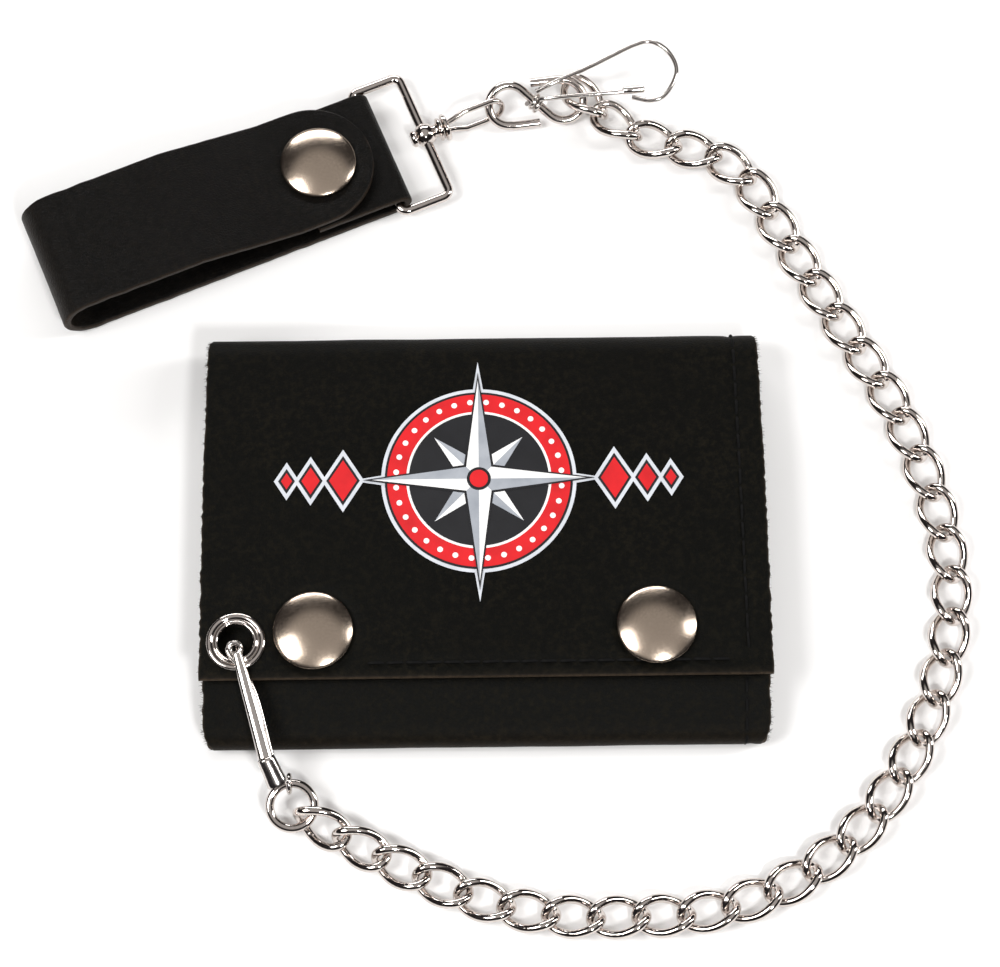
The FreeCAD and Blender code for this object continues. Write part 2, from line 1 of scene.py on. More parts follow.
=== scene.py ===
# %% [markdown]
# # Chain wallet
# A black leather wallet that folds in three, with a printed badge, two press studs, a grommet,
# a curb chain, a snap hook and a leather belt loop. The CAD model gives every size and every
# joint. Here the chain, the rings and the hidden fittings keep their CAD shape, and the leather,
# thread, print, stud caps and bent wire are made anew.

# %% Load the frame
import math
import random
import bmesh
import bpy
import numpy as np
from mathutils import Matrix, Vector, geometry, noise


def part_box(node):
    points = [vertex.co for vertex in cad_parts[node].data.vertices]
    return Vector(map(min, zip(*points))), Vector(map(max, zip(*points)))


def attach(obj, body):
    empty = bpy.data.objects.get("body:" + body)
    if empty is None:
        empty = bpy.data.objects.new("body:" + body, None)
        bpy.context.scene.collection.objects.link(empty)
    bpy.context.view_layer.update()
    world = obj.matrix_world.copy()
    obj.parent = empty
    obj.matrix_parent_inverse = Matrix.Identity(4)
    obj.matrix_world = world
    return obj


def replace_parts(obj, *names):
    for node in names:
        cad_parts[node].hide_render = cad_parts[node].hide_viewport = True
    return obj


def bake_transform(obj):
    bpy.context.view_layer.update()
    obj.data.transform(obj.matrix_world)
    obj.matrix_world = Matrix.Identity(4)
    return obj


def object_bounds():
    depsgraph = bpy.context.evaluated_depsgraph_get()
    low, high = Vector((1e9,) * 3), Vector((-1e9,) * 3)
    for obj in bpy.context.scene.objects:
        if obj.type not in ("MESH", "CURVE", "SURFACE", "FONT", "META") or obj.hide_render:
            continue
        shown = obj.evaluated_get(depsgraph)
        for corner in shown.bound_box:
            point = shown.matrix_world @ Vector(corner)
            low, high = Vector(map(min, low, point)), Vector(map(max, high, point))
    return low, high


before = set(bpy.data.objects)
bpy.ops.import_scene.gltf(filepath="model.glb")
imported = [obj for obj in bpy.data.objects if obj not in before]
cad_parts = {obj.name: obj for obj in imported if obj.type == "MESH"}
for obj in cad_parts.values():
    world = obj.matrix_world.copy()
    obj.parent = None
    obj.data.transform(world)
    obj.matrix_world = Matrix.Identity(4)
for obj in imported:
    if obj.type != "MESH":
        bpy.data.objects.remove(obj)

CAD_LOW, CAD_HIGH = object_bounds()
MM = 0.001
print("CAD box, mm:", [round(c / MM, 1) for c in CAD_HIGH - CAD_LOW], len(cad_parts), "nodes")

# %% [markdown]
# Colours are written as sRGB hex values, as a dye chart gives them. Shaders want linear light,
# so one function turns them. One more function adds a shader node, sets its properties and
# joins its sockets, which keeps each material below short enough to read.

# %% Colour and node helpers
def linear(code):
    """An sRGB hex colour as linear, opaque RGBA."""
    parts = [int(code[i:i + 2], 16) / 255 for i in (1, 3, 5)]
    return tuple(c / 12.92 if c <= 0.04045 else ((c + 0.055) / 1.055) ** 2.4 for c in parts) + (1.0,)


def add(tree, kind, inputs=None, **settings):
    """Adds one shader node. An input that is a socket is linked, and any other value is set."""
    made = tree.nodes.new("ShaderNode" + kind)
    for key, value in settings.items():
        setattr(made, key, value)
    for key, value in (inputs or {}).items():
        if isinstance(value, bpy.types.NodeSocket):
            tree.links.new(value, made.inputs[key])
        else:
            made.inputs[key].default_value = value
    return made


def per_metre(size_mm):
    """Texture scale that gives a pattern of this size in millimetres."""
    return 1.0 / (size_mm * MM)


def material(name):
    """A new material without nodes, and its node tree."""
    made = bpy.data.materials.new(name)
    made.use_nodes = True
    made.node_tree.nodes.clear()
    return made, made.node_tree


def surface(tree, inputs):
    """The Principled shader with these inputs, joined to the material's output."""
    shader = add(tree, "BsdfPrincipled", inputs)
    add(tree, "OutputMaterial", {"Surface": shader.outputs[0]})


print("black leather dye in linear light:", [round(c, 4) for c in linear("#171310")])

# %% [markdown]
# ## Leather
# The outside is drum-dyed cowhide, near black, with brown and a little green in it where the
# dye sits thin. Its grain is small pebbles about 0.6 mm across with finer creases between them.
# Voronoi cells give the pebbles and noise gives the creases and the uneven dye. The cut edges
# aren't dyed right through, so a wear-and-sheen value on each vertex brings the brown out there.
# Along the folds the same value paints a lighter band: partly the wear of the bend, partly a
# painted highlight for the sheen of the fold.

# %% Leather material
def leather(name, dark, brown, pale, grain, roughness, bump, gloss):
    made, tree = material(name)
    place = add(tree, "Attribute", attribute_name="flat").outputs["Vector"]
    wear_and_sheen = add(tree, "Attribute", attribute_name="wear_and_sheen").outputs["Fac"]
    cloud = add(tree, "TexNoise", {"Vector": place, "Scale": per_metre(17.0), "Detail": 5.0,
                                             "Roughness": 0.62})
    speck = add(tree, "TexNoise", {"Vector": place, "Scale": per_metre(1.1), "Detail": 3.0,
                                             "Roughness": 0.7})
    cells = add(tree, "TexVoronoi", {"Vector": place, "Scale": per_metre(grain),
                                               "Randomness": 0.95}, feature="DISTANCE_TO_EDGE")
    creases = add(tree, "MapRange", {"Value": cells.outputs["Distance"], "From Max": 0.22})
    patch = add(tree, "MapRange", {"Value": cloud.outputs["Fac"], "From Min": 0.38,
                                             "From Max": 0.66})
    fleck = add(tree, "MapRange", {"Value": speck.outputs["Fac"], "From Min": 0.45,
                                             "From Max": 0.75, "To Max": 0.6})
    both = add(tree, "Math", {0: patch.outputs[0], 1: fleck.outputs[0], 2: fleck.outputs[0]},
               operation="MULTIPLY_ADD")
    dye = add(tree, "Mix", {0: both.outputs[0], 6: linear(dark), 7: linear(brown)},
              data_type="RGBA")
    # The wear value lightens the dye towards pale: real wear at the cut edges, and along the folds wear with a
    # painted highlight.
    wear_and_sheen_level = add(tree, "Math", {0: wear_and_sheen, 1: speck.outputs["Fac"]}, operation="MULTIPLY")
    pale_amount = add(tree, "Math", {0: wear_and_sheen_level.outputs[0], 1: 1.6}, operation="MULTIPLY", use_clamp=True)
    coat = add(tree, "Mix", {0: pale_amount.outputs[0], 6: dye.outputs[2], 7: linear(pale)},
               data_type="RGBA")
    dull = add(tree, "MapRange", {"Value": speck.outputs["Fac"], "To Min": roughness - 0.1,
                                            "To Max": roughness + 0.14})
    pores = add(tree, "TexNoise", {"Vector": place, "Scale": per_metre(0.35), "Detail": 2.0})
    height = add(tree, "Math", {0: creases.outputs[0], 1: 0.6, 2: pores.outputs["Fac"]},
                 operation="MULTIPLY_ADD")
    relief = add(tree, "Bump", {"Height": height.outputs[0], "Strength": bump,
                                          "Distance": 0.1 * MM})
    surface(tree, {"Base Color": coat.outputs[2], "Roughness": dull.outputs[0],
                   "Normal": relief.outputs[0], "IOR": 1.5, "Specular IOR Level": gloss})
    return made


COWHIDE = leather("cowhide_drum_dyed_black", "#040402", "#15120a", "#453a2f", 0.6, 0.55, 0.45, 0.08)
STRAP_HIDE = leather("cowhide_strap_glazed_black", "#050403", "#120e09", "#33281e", 0.6, 0.42, 0.7, 0.11)
POCKET_HIDE = leather("split_leather_black", "#12100c", "#201a13", "#4a4034", 0.5, 0.6, 0.4, 0.2)
print("three leathers")

# %% [markdown]
# ## Nickel
# The chain, ring, clip, grommet and hook are steel with bright nickel plate: a slightly warm
# mirror, with faint waves from tumbling. The press stud caps are nickel too, but satin brushed,
# so they blur what they reflect. A metal keeps the default IOR, and its colour is its tint.

# %% Metal materials
def metal(name, tint, roughness, waves_mm, bump):
    made, tree = material(name)
    place = add(tree, "TexCoord").outputs["Object"]
    waves = add(tree, "TexNoise", {"Vector": place, "Scale": per_metre(waves_mm), "Detail": 3.0})
    smear = add(tree, "TexNoise", {"Vector": place, "Scale": per_metre(0.5), "Detail": 4.0})
    dull = add(tree, "MapRange", {"Value": smear.outputs["Fac"], "To Min": roughness * 0.6,
                                            "To Max": roughness * 1.5})
    relief = add(tree, "Bump", {"Height": waves.outputs["Fac"], "Strength": bump,
                                          "Distance": 0.1 * MM})
    shade = add(tree, "Mix", {0: smear.outputs["Fac"], 6: linear(tint[0]), 7: linear(tint[1])},
                data_type="RGBA")
    surface(tree, {"Base Color": shade.outputs[2], "Roughness": dull.outputs[0],
                   "Normal": relief.outputs[0], "Metallic": 1.0})
    return made


BRIGHT_NICKEL = metal("nickel_plate_bright", ("#dcd5d0", "#cbc1bb"), 0.09, 2.2, 0.2)
SATIN_NICKEL = metal("nickel_plate_satin", ("#c9b9a8", "#b3a292"), 0.2, 3.0, 0.1)
SPRING_STEEL = metal("spring_steel_nickel_plated", ("#dcd7d3", "#c5beb9"), 0.15, 1.5, 0.12)
print("three metals")

# %% [markdown]
# The lining is plain woven nylon and the thread is bonded polyester. The window is clear vinyl
# sheet, and the badge is screen-printed plastic ink, a film with a little gloss that still
# shows the leather's grain through it.

# %% Lining, thread, vinyl and ink
def woven(name, dark, light, thread_mm):
    made, tree = material(name)
    place = add(tree, "Attribute", attribute_name="flat").outputs["Vector"]
    warp = add(tree, "TexWave", {"Vector": place, "Scale": per_metre(thread_mm) / 20},
               bands_direction="X")
    weft = add(tree, "TexWave", {"Vector": place, "Scale": per_metre(thread_mm) / 20},
               bands_direction="Y")
    cross = add(tree, "Math", {0: warp.outputs["Fac"], 1: weft.outputs["Fac"]},
                operation="MULTIPLY")
    shade = add(tree, "Mix", {0: cross.outputs[0], 6: linear(dark), 7: linear(light)},
                data_type="RGBA")
    relief = add(tree, "Bump", {"Height": cross.outputs[0], "Strength": 0.4, "Distance": 0.05 * MM})
    surface(tree, {"Base Color": shade.outputs[2], "Normal": relief.outputs[0], "Roughness": 0.75,
                   "Specular IOR Level": 0.15})
    return made


def ink(name, colour, shade):
    made, tree = material(name)
    place = add(tree, "TexCoord").outputs["Object"]
    grain = add(tree, "TexVoronoi", {"Vector": place, "Scale": per_metre(0.75)},
                feature="DISTANCE_TO_EDGE")
    patch = add(tree, "TexNoise", {"Vector": place, "Scale": per_metre(4.0), "Detail": 4.0})
    tone = add(tree, "MapRange", {"Value": patch.outputs["Fac"], "From Min": 0.35, "From Max": 0.8})
    film = add(tree, "Mix", {0: tone.outputs[0], 6: linear(colour), 7: linear(shade)},
               data_type="RGBA")
    relief = add(tree, "Bump", {"Height": grain.outputs["Distance"], "Strength": 0.18,
                                          "Distance": 0.1 * MM})
    surface(tree, {"Base Color": film.outputs[2], "Normal": relief.outputs[0], "Roughness": 0.42,
                   "IOR": 1.5})
    return made


LINING = woven("nylon_lining_plain_weave", "#0d0d0e", "#232326", 0.4)
THREAD = woven("polyester_thread_bonded_black", "#040404", "#0e0d0c", 0.3)
INK_WHITE = ink("plastic_ink_white", "#f4f3f1", "#e6e5e4")
INK_BLACK = ink("plastic_ink_black", "#101014", "#18181c")
INK_RED = ink("plastic_ink_red", "#d9161e", "#c01018")
INK_GREY = ink("plastic_ink_grey", "#a7abb2", "#8e939b")
INK_SILVER = ink("plastic_ink_silver_white", "#d5d8de", "#bfc3ca")
VINYL, vinyl_tree = material("vinyl_sheet_clear")
haze = add(vinyl_tree, "TexNoise", {"Scale": per_metre(9.0), "Detail": 3.0})
haze_range = add(vinyl_tree, "MapRange", {"Value": haze.outputs["Fac"], "To Min": 0.08, "To Max": 0.25})
surface(vinyl_tree, {"Base Color": linear("#dfe3e2"), "Roughness": haze_range.outputs[0],
                     "Transmission Weight": 0.85, "IOR": 1.53})
print("lining, thread, window and five inks")

# %% [markdown]
# ## Leather sheets
# Every leather part is one flat sheet that was cut and then folded. So each is made from its
# side profile: a path of straight runs and arcs, swept across the width, with an outer and an
# inner face, rounded cut edges, and small swells that keep it from looking ruled. Each vertex
# remembers where it lay before folding, so the grain runs round a fold without stretching.

# %% Profile and sheet helpers
def line(start, end):
    return [start, end]


def arc(centre, radius, first, last):
    steps = max(4, int(abs(last - first) * math.pi / 180 * radius / 0.45))
    turns = [math.radians(first + (last - first) * i / steps) for i in range(steps + 1)]
    return [(centre[0] + radius * math.cos(a), centre[1] + radius * math.sin(a)) for a in turns]


def profile(parts, side, step=0.8, soften=2.0):
    """Joins runs and arcs and samples them evenly. side is +1 if the outside is on the right."""
    joined = []
    for part in parts:
        joined += [p for p in part if not joined or math.dist(p, joined[-1]) > 1e-6]
    path = np.array(joined, float)
    reach = np.concatenate([[0], np.cumsum(np.linalg.norm(np.diff(path, axis=0), axis=1))])
    count = max(3, int(reach[-1] / step))
    close = [0.05, 0.15, 0.3, 0.5]
    s = np.unique(np.concatenate([np.linspace(0, reach[-1], count), close, reach[-1] - np.array(close)]))
    ahead, behind = np.minimum(s + soften / 2, reach[-1]), np.maximum(s - soften / 2, 0)

    def at(t):
        return np.stack([np.interp(t, reach, path[:, k]) for k in (0, 1)], axis=1)

    tangent = at(ahead) - at(behind)
    tangent /= np.linalg.norm(tangent, axis=1)[:, None]
    normal = np.stack([tangent[:, 1], -tangent[:, 0]], axis=1) * side
    return {"s": s, "at": at(s), "normal": normal, "length": reach[-1]}


def on_wallet(across, along, height):
    return (across, along, height)


def swell(across, s, seed, size=0.1):
    """Small unevenness of the hide, in millimetres."""
    slow = noise.noise((across / 16, s / 16, seed))
    quick = noise.noise((across / 5, s / 5, seed + 9))
    return size * (slow + 0.35 * quick)


def make_object(name, verts, faces, finish, flat=None, wear_and_sheen=None, sharp=40):
    """A mesh in millimetres. flat is where each vertex lay before folding; the wear value is how worn each
    vertex is, and along the folds it also carries a painted highlight.
    """
    mesh = bpy.data.meshes.new(name)
    mesh.from_pydata([tuple(c * MM for c in v) for v in verts], [], faces)
    for key, kind, field, data in (("flat", "FLOAT_VECTOR", "vector", flat),
                                   ("wear_and_sheen", "FLOAT", "value", wear_and_sheen)):
        if data:
            layer = mesh.attributes.new(key, kind, "POINT")
            layer.data.foreach_set(field, np.ravel(data).astype(np.float32))
    cleaner = bmesh.new()
    cleaner.from_mesh(mesh)
    bmesh.ops.recalc_face_normals(cleaner, faces=cleaner.faces)
    cleaner.to_mesh(mesh)
    cleaner.free()
    mesh.shade_smooth()
    mesh.set_sharp_from_angle(angle=math.radians(sharp))
    mesh.materials.append(finish)
    obj = bpy.data.objects.new(name, mesh)
    bpy.context.scene.collection.objects.link(obj)
    return obj


EDGE_STEPS = [0.0, 0.05, 0.15, 0.3, 0.5]
EDGE_ROUND = 0.45


def sheet(name, path, half_width, thick, finish, place=on_wallet, middle=0.0, seed=1.0, free=(False, True),
          size=0.1, wear_and_sheen=None, groove=None, holes=(), step=0.9):
    """One sheet of leather or cloth along a profile."""
    inner = max(2, int(half_width(0.0) / step))
    verts, flat, wear_and_sheen_level, rows = [], [], [], len(path["s"])
    for i, s in enumerate(path["s"]):
        half = half_width(s)
        depths = EDGE_STEPS + [0.5 + (half - 0.5) * k / inner for k in range(1, inner + 1)]
        across = [-half + d for d in depths] + [half - d for d in depths[-2::-1]]
        (u, z), (nu, nz) = path["at"][i], path["normal"][i]
        to_end = min([9.0] + ([s] if free[0] else []) + ([path["length"] - s] if free[1] else []))
        for face in (1, 0):
            for x in across:
                d = min(half - abs(x), to_end, EDGE_ROUND)
                fall = EDGE_ROUND - math.sqrt(max(0.0, EDGE_ROUND ** 2 - (EDGE_ROUND - d) ** 2))
                fall = min(fall, thick * 0.47)
                rise = swell(x + middle, s, seed, size) - (groove(x + middle, s) if groove else 0.0)
                lift = (rise - fall) if face else (-thick + fall + rise * 0.5)
                verts.append(place(middle + x, u + nu * lift, z + nz * lift))
                flat.append(((middle + x) * MM, s * MM, seed * 0.1 + face * 0.05))
                # The rounded cut edge adds real wear; the wear function adds the folds' wear and their painted
                # highlight.
                pale_amount = max(0.0, 1.0 - d / EDGE_ROUND) ** 2
                wear_and_sheen_level.append(min(1.0, pale_amount + (wear_and_sheen(x + middle, s) if wear_and_sheen else 0.0)))
    wide = len(across)
    faces = []

    def vid(i, face, j):
        return i * 2 * wide + (0 if face else wide) + j

    for i in range(rows - 1):
        for j in range(wide - 1):
            faces.append((vid(i, 1, j), vid(i, 1, j + 1), vid(i + 1, 1, j + 1), vid(i + 1, 1, j)))
            faces.append((vid(i, 0, j), vid(i + 1, 0, j), vid(i + 1, 0, j + 1), vid(i, 0, j + 1)))
        for j in (0, wide - 1):
            faces.append((vid(i, 1, j), vid(i + 1, 1, j), vid(i + 1, 0, j), vid(i, 0, j)))
    for i in (0, rows - 1):
        for j in range(wide - 1):
            faces.append((vid(i, 1, j), vid(i, 1, j + 1), vid(i, 0, j + 1), vid(i, 0, j)))
    if holes:
        spots = np.array(verts)
        centre = np.array([spots[list(f)].mean(0)[:2] for f in faces])
        high = np.array([spots[list(f)][:, 2].min() for f in faces])
        keep = np.ones(len(faces), bool)
        for (hx, hy), radius, above in holes:
            keep &= (np.hypot(centre[:, 0] - hx, centre[:, 1] - hy) > radius) | (high < above)
        faces = [f for f, k in zip(faces, keep) if k]
    return make_object(name, verts, faces, finish, flat, wear_and_sheen_level)


print("a fold of 5.6 mm is cut into", len(arc((0, 0), 5.6, -90, 86)) - 1, "steps")

# %% [markdown]
# ## The wallet's outside
# One long hide makes the back, the flap that comes over the top and the panel that folds up
# from below. The back's two folds are where it moves, so the hide is made in two halves that
# meet at the middle of the back, where nothing bends. Each half runs from the back round its
# own fold to the part that turns.

# %% Outside leather
back_low, back_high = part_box("back_panel")
flap_low, flap_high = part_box("front_flap")
panel_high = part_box("inner_panel")[1]
HALF_W = back_high.x / MM
HIDE = 1.2
TOP_R, LOW_R = 5.6, 3.3
TOP_Y, LOW_Y = back_high.y / MM - TOP_R, back_low.y / MM + LOW_R
FLAP_Z, PANEL_Z = flap_high.z / MM, panel_high.z / MM
FLAP_EDGE, PANEL_TIP = flap_low.y / MM, panel_high.y / MM
TOP_SLOPE, LOW_SLOPE = 4.0, 17.0
SNAPS = [(-32.5, -20.2), (32.2, -19.8)]
GROMMET = (-47.0, -22.2)
SEAM_TOP, SEAM_LOW = 48.4, 49.6
SEAM_DEEP, SEAM_SOFT = 0.24, 0.8
DENT_R, DENT_SOFT = 7.2, 1.3        # a stud presses a ring into the leather round its cap
ROW_Y = -26.6
GROMMET_HOLE, STUD_HOLE, LOW_STUD_HOLE, HOLES_ABOVE = 4.0, 3.0, 1.6, 5.0


def knee(bend_y, radius, slope, side, height):
    """Where a sheet that leaves a fold at a slope becomes flat."""
    a = math.radians(slope)
    rise = height - radius - radius * math.cos(a)
    return bend_y + side * radius * math.sin(a) - side * rise / math.tan(a)


FLAP_KNEE = knee(TOP_Y, TOP_R, TOP_SLOPE, 1, FLAP_Z)
PANEL_KNEE = knee(LOW_Y, LOW_R, LOW_SLOPE, -1, PANEL_Z)
FLAP_PATH = profile([line((0, 0), (TOP_Y, 0)), arc((TOP_Y, TOP_R), TOP_R, -90, 90 - TOP_SLOPE),
                     line((FLAP_KNEE, FLAP_Z), (FLAP_EDGE, FLAP_Z))], 1)
PANEL_PATH = profile([line((0, 0), (LOW_Y, 0)), arc((LOW_Y, LOW_R), LOW_R, 270, 90 + LOW_SLOPE),
                      line((PANEL_KNEE, PANEL_Z), (PANEL_TIP, PANEL_Z))], -1)
FOLD_TOP_S = TOP_Y + TOP_R * math.pi / 2
FOLD_LOW_S = -LOW_Y + LOW_R * math.pi / 2


def seam_x(y):
    """The side seam isn't quite square: it drifts outward towards the bottom."""
    return SEAM_TOP + (SEAM_LOW - SEAM_TOP) * (back_high.y / MM - y) / (back_high.y - back_low.y) * MM


def flap_groove(x, s):
    y = FLAP_EDGE + FLAP_PATH["length"] - s
    deep = SEAM_DEEP * math.exp(-((x - seam_x(y)) / SEAM_SOFT) ** 2) if s > TOP_Y + 2 else 0.0
    if s > FOLD_TOP_S + 20:
        deep += SEAM_DEEP * math.exp(-((y - ROW_Y) / SEAM_SOFT) ** 2) * (-22 < x < SEAM_LOW)
        for sx, sy in SNAPS:
            r = math.hypot(x - sx, y - sy)
            deep += 0.35 * math.exp(-((r - DENT_R) / DENT_SOFT) ** 2)
    return deep


# Along the top fold the flap is painted lighter, partly for wear and partly as a painted highlight of the
# fold's sheen; along the free edge it is the raw cut's wear.
def flap_wear_and_sheen(x, s):
    fold_wear_and_sheen = 0.16 * math.exp(-((s - FOLD_TOP_S) / 3.0) ** 2)
    free = 0.12 * max(0.0, 1 - (FLAP_PATH["length"] - s) / 1.6)
    return fold_wear_and_sheen + free


def ragged(seed, swing):
    """Half width along the hide: scissors wander, and the folds pull in a little."""
    def half(s):
        cut = 0.28 * noise.noise((s / 2.6, seed, 0)) + 0.3 * noise.noise((s / 1.1, seed, 4))
        return HALF_W - 0.5 + cut + swing(s)
    return half


def flap_swing(s):
    """The flap widens a little towards its edge and draws in at the fold."""
    return 0.4 * min(1.0, max(0.0, s - FOLD_TOP_S) / 40) - 0.5 * math.exp(-((s - FOLD_TOP_S) / 4) ** 2)


def panel_swing(s):
    return -1.5 * math.exp(-((s - FOLD_LOW_S) / 2.6) ** 2)


flap = sheet("flap_leather", FLAP_PATH, ragged(3, flap_swing), HIDE, COWHIDE, seed=1.0, wear_and_sheen=flap_wear_and_sheen,
             groove=flap_groove, holes=[(GROMMET, GROMMET_HOLE, HOLES_ABOVE)]
             + [(spot, STUD_HOLE, HOLES_ABOVE) for spot in SNAPS])
# The panel is painted lighter along its fold, partly for wear and partly as a painted highlight of the fold's
# sheen.
panel = sheet("panel_leather", PANEL_PATH, ragged(8, panel_swing), HIDE, COWHIDE, seed=2.0,
              wear_and_sheen=lambda x, s: 0.2 * math.exp(-((s - FOLD_LOW_S) / 3.0) ** 2),
              groove=lambda x, s: 0.16 * math.exp(-((x - SEAM_LOW) / 0.7) ** 2),
              holes=[(spot, LOW_STUD_HOLE, HOLES_ABOVE) for spot in SNAPS])
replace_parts(flap, "back_panel", "front_flap")
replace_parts(panel, "inner_panel")
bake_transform(flap)
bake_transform(panel)
print("flap sheet", len(flap.data.vertices), "panel sheet", len(panel.data.vertices), "vertices")

# %% [markdown]
# ## Stitching
# A lockstitch in heavy black thread runs down the right side and along the flap's lower edge.
# Each stitch is a short tube that rises from one needle hole and dives into the next, about
# seven to the inch. They are separate bodies of thread on the real seam too, so they are
# modelled one by one rather than painted.

# %% Stitches
def on_sheet(path, x, s, lift):
    """A point over a sheet of the wallet, x across it and s along it."""
    u, z = (np.interp(s, path["s"], path["at"][:, k]) for k in (0, 1))
    nu, nz = (np.interp(s, path["s"], path["normal"][:, k]) for k in (0, 1))
    return Vector(on_wallet(x, u + nu * lift, z + nz * lift))


def tube_faces(rows, around, base=0, closed=False):
    """The quads of a tube: each row of vertices is joined to the next."""
    faces = []
    for i in range(rows if closed else rows - 1):
        low, high = base + i * around, base + (i + 1) % rows * around
        faces += [(low + k, low + (k + 1) % around, high + (k + 1) % around, high + k)
                  for k in range(around)]
    return faces


THREAD_R = 0.3
STITCH = 3.6
STITCH_GAP = 0.55
RING_SIDES = 8
STITCH_STEPS = 8


def stitch_row(name, path, start, end, finish, seed, surface_lift):
    """Stitches from one (across, along) point of a sheet to another."""
    rng = random.Random(seed)
    reach = math.dist(start, end)
    count = int(reach / STITCH)
    verts, faces, flat = [], [], []
    for k in range(count):
        lean = rng.uniform(-0.12, 0.12)
        t0, t1 = (k * STITCH + STITCH_GAP / 2) / reach, ((k + 1) * STITCH - STITCH_GAP / 2) / reach
        points = []
        for i in range(STITCH_STEPS + 1):
            f = i / STITCH_STEPS
            t = t0 + (t1 - t0) * f
            x = start[0] + (end[0] - start[0]) * t
            s = start[1] + (end[1] - start[1]) * t
            side = lean * (f - 0.5)
            x, s = (x + side, s) if abs(end[1] - start[1]) > abs(end[0] - start[0]) else (x, s + side)
            hop = 1 - abs(2 * f - 1) ** 3
            points.append((on_sheet(path, x, s, surface_lift + 0.3 * hop - 0.34),
                           on_sheet(path, x, s, surface_lift + 1.0)))
        base = len(verts)
        for i, (p, above) in enumerate(points):
            ahead = points[min(i + 1, STITCH_STEPS)][0] - points[max(i - 1, 0)][0]
            up = (above - p).normalized()
            out = ahead.cross(up).normalized()
            up = out.cross(ahead).normalized()
            width = THREAD_R * (0.72 + 0.28 * (1 - abs(2 * i / STITCH_STEPS - 1) ** 4))
            for j in range(RING_SIDES):
                a = math.tau * j / RING_SIDES
                verts.append(p + out * (width * math.cos(a)) + up * (width * 0.85 * math.sin(a)))
                flat.append((j * 0.3 * MM + i * 0.25 * MM, i * 0.5 * MM, 0))
        faces += tube_faces(STITCH_STEPS + 1, RING_SIDES, base)
        faces.append(tuple(base + j for j in range(RING_SIDES)))
        faces.append(tuple(base + STITCH_STEPS * RING_SIDES + j for j in range(RING_SIDES)))
    return make_object(name, verts, faces, finish, flat)


def flap_s(y):
    """Distance along the flap's hide of a point on its front."""
    return FLAP_PATH["length"] - (y - FLAP_EDGE)


seam_one = stitch_row("flap_side_stitches", FLAP_PATH, (SEAM_TOP, 1.0),
                      (SEAM_LOW - 0.3, FLAP_PATH["length"] - 3.2), THREAD, 5, 0.05)
seam_two = stitch_row("panel_side_stitches", PANEL_PATH, (SEAM_TOP, 2.5),
                      (SEAM_LOW, PANEL_PATH["length"] - 3.0), THREAD, 6, 0.05)
edge_row = stitch_row("flap_edge_stitches", FLAP_PATH, (-22.5, flap_s(ROW_Y)),
                      (SEAM_TOP - 1.0, flap_s(ROW_Y)), THREAD, 7, 0.05)
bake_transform(seam_one)
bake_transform(seam_two)
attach(edge_row, "flap")
stitch_verts = sum(len(row.data.vertices) for row in (seam_one, seam_two, edge_row))
print("stitches:", stitch_verts // (RING_SIDES * (STITCH_STEPS + 1)))

# %% [markdown]
# The two short sides of the hide are cut and left raw, so loose fibres stand out of them. They
# are thin spikes of a few tenths of a millimetre, scattered along the cut.

# %% Raw edge fibres
FIBRE_R, FIBRE_WEAR = 0.06, 0.35


def fibres(name, path, half, first, last, count, seed, thick):
    """Loose fibres along both cut sides of a hide, between two distances along it."""
    rng = random.Random(seed)
    verts, faces, flat = [], [], []
    for _ in range(count):
        s = rng.uniform(first, last)
        side = rng.choice((-1, 1))
        x = side * (half(s) - 0.12)
        depth = -rng.uniform(0.1, thick - 0.1)
        root = on_sheet(path, x, s, depth)
        tip = on_sheet(path, x + side * rng.uniform(0.25, 1.0), s + rng.uniform(-0.5, 0.5),
                       depth + rng.uniform(-0.2, 0.2))
        way = (tip - root).normalized()
        a = way.orthogonal().normalized()
        b = way.cross(a)
        base = len(verts)
        for j in range(3):
            t = math.tau * j / 3
            verts.append(root + (a * math.cos(t) + b * math.sin(t)) * FIBRE_R)
        verts.append(tip)
        flat += [(x * MM, s * MM, 0)] * 4
        faces += [(base, base + 1, base + 3), (base + 1, base + 2, base + 3), (base + 2, base, base + 3),
                  (base, base + 2, base + 1)]
    return make_object(name, verts, faces, COWHIDE, flat, [FIBRE_WEAR] * len(verts))


flap_fuzz = fibres("flap_edge_fibres", FLAP_PATH, ragged(3, lambda s: 0.0), FOLD_TOP_S - 4,
                   FLAP_PATH["length"] - 1, 700, 11, HIDE)
panel_fuzz = fibres("panel_edge_fibres", PANEL_PATH, ragged(8, panel_swing), FOLD_LOW_S - 4,
                    FOLD_LOW_S + 16, 120, 12, HIDE)
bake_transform(flap_fuzz)
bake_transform(panel_fuzz)
print("fibres:", len(flap_fuzz.data.vertices) // 4 + len(panel_fuzz.data.vertices) // 4)

# %% [markdown]
# ## Inside: pockets, window and lining
# Inside are three stepped card pockets and a clear window on the back, two pockets on the
# panel, and cloth linings behind the flap and in the bill slot. They are thin sheets again,
# each a little crowned, with a stitched mouth on each card pocket.

# %% Pockets and linings
def flat_sheet(name, x0, x1, y0, y1, z, thick, finish, seed, up=1, holes=()):
    """A flat piece whose visible face is at height z."""
    ends = ((y0, z), (y1, z)) if up < 0 else ((y1, z), (y0, z))
    path = profile([line(*ends)], 1, step=1.6)
    return sheet(name, path, lambda s: (x1 - x0) / 2, thick, finish, middle=(x0 + x1) / 2, seed=seed,
                 free=(True, True), size=0.06, holes=holes, step=1.6)


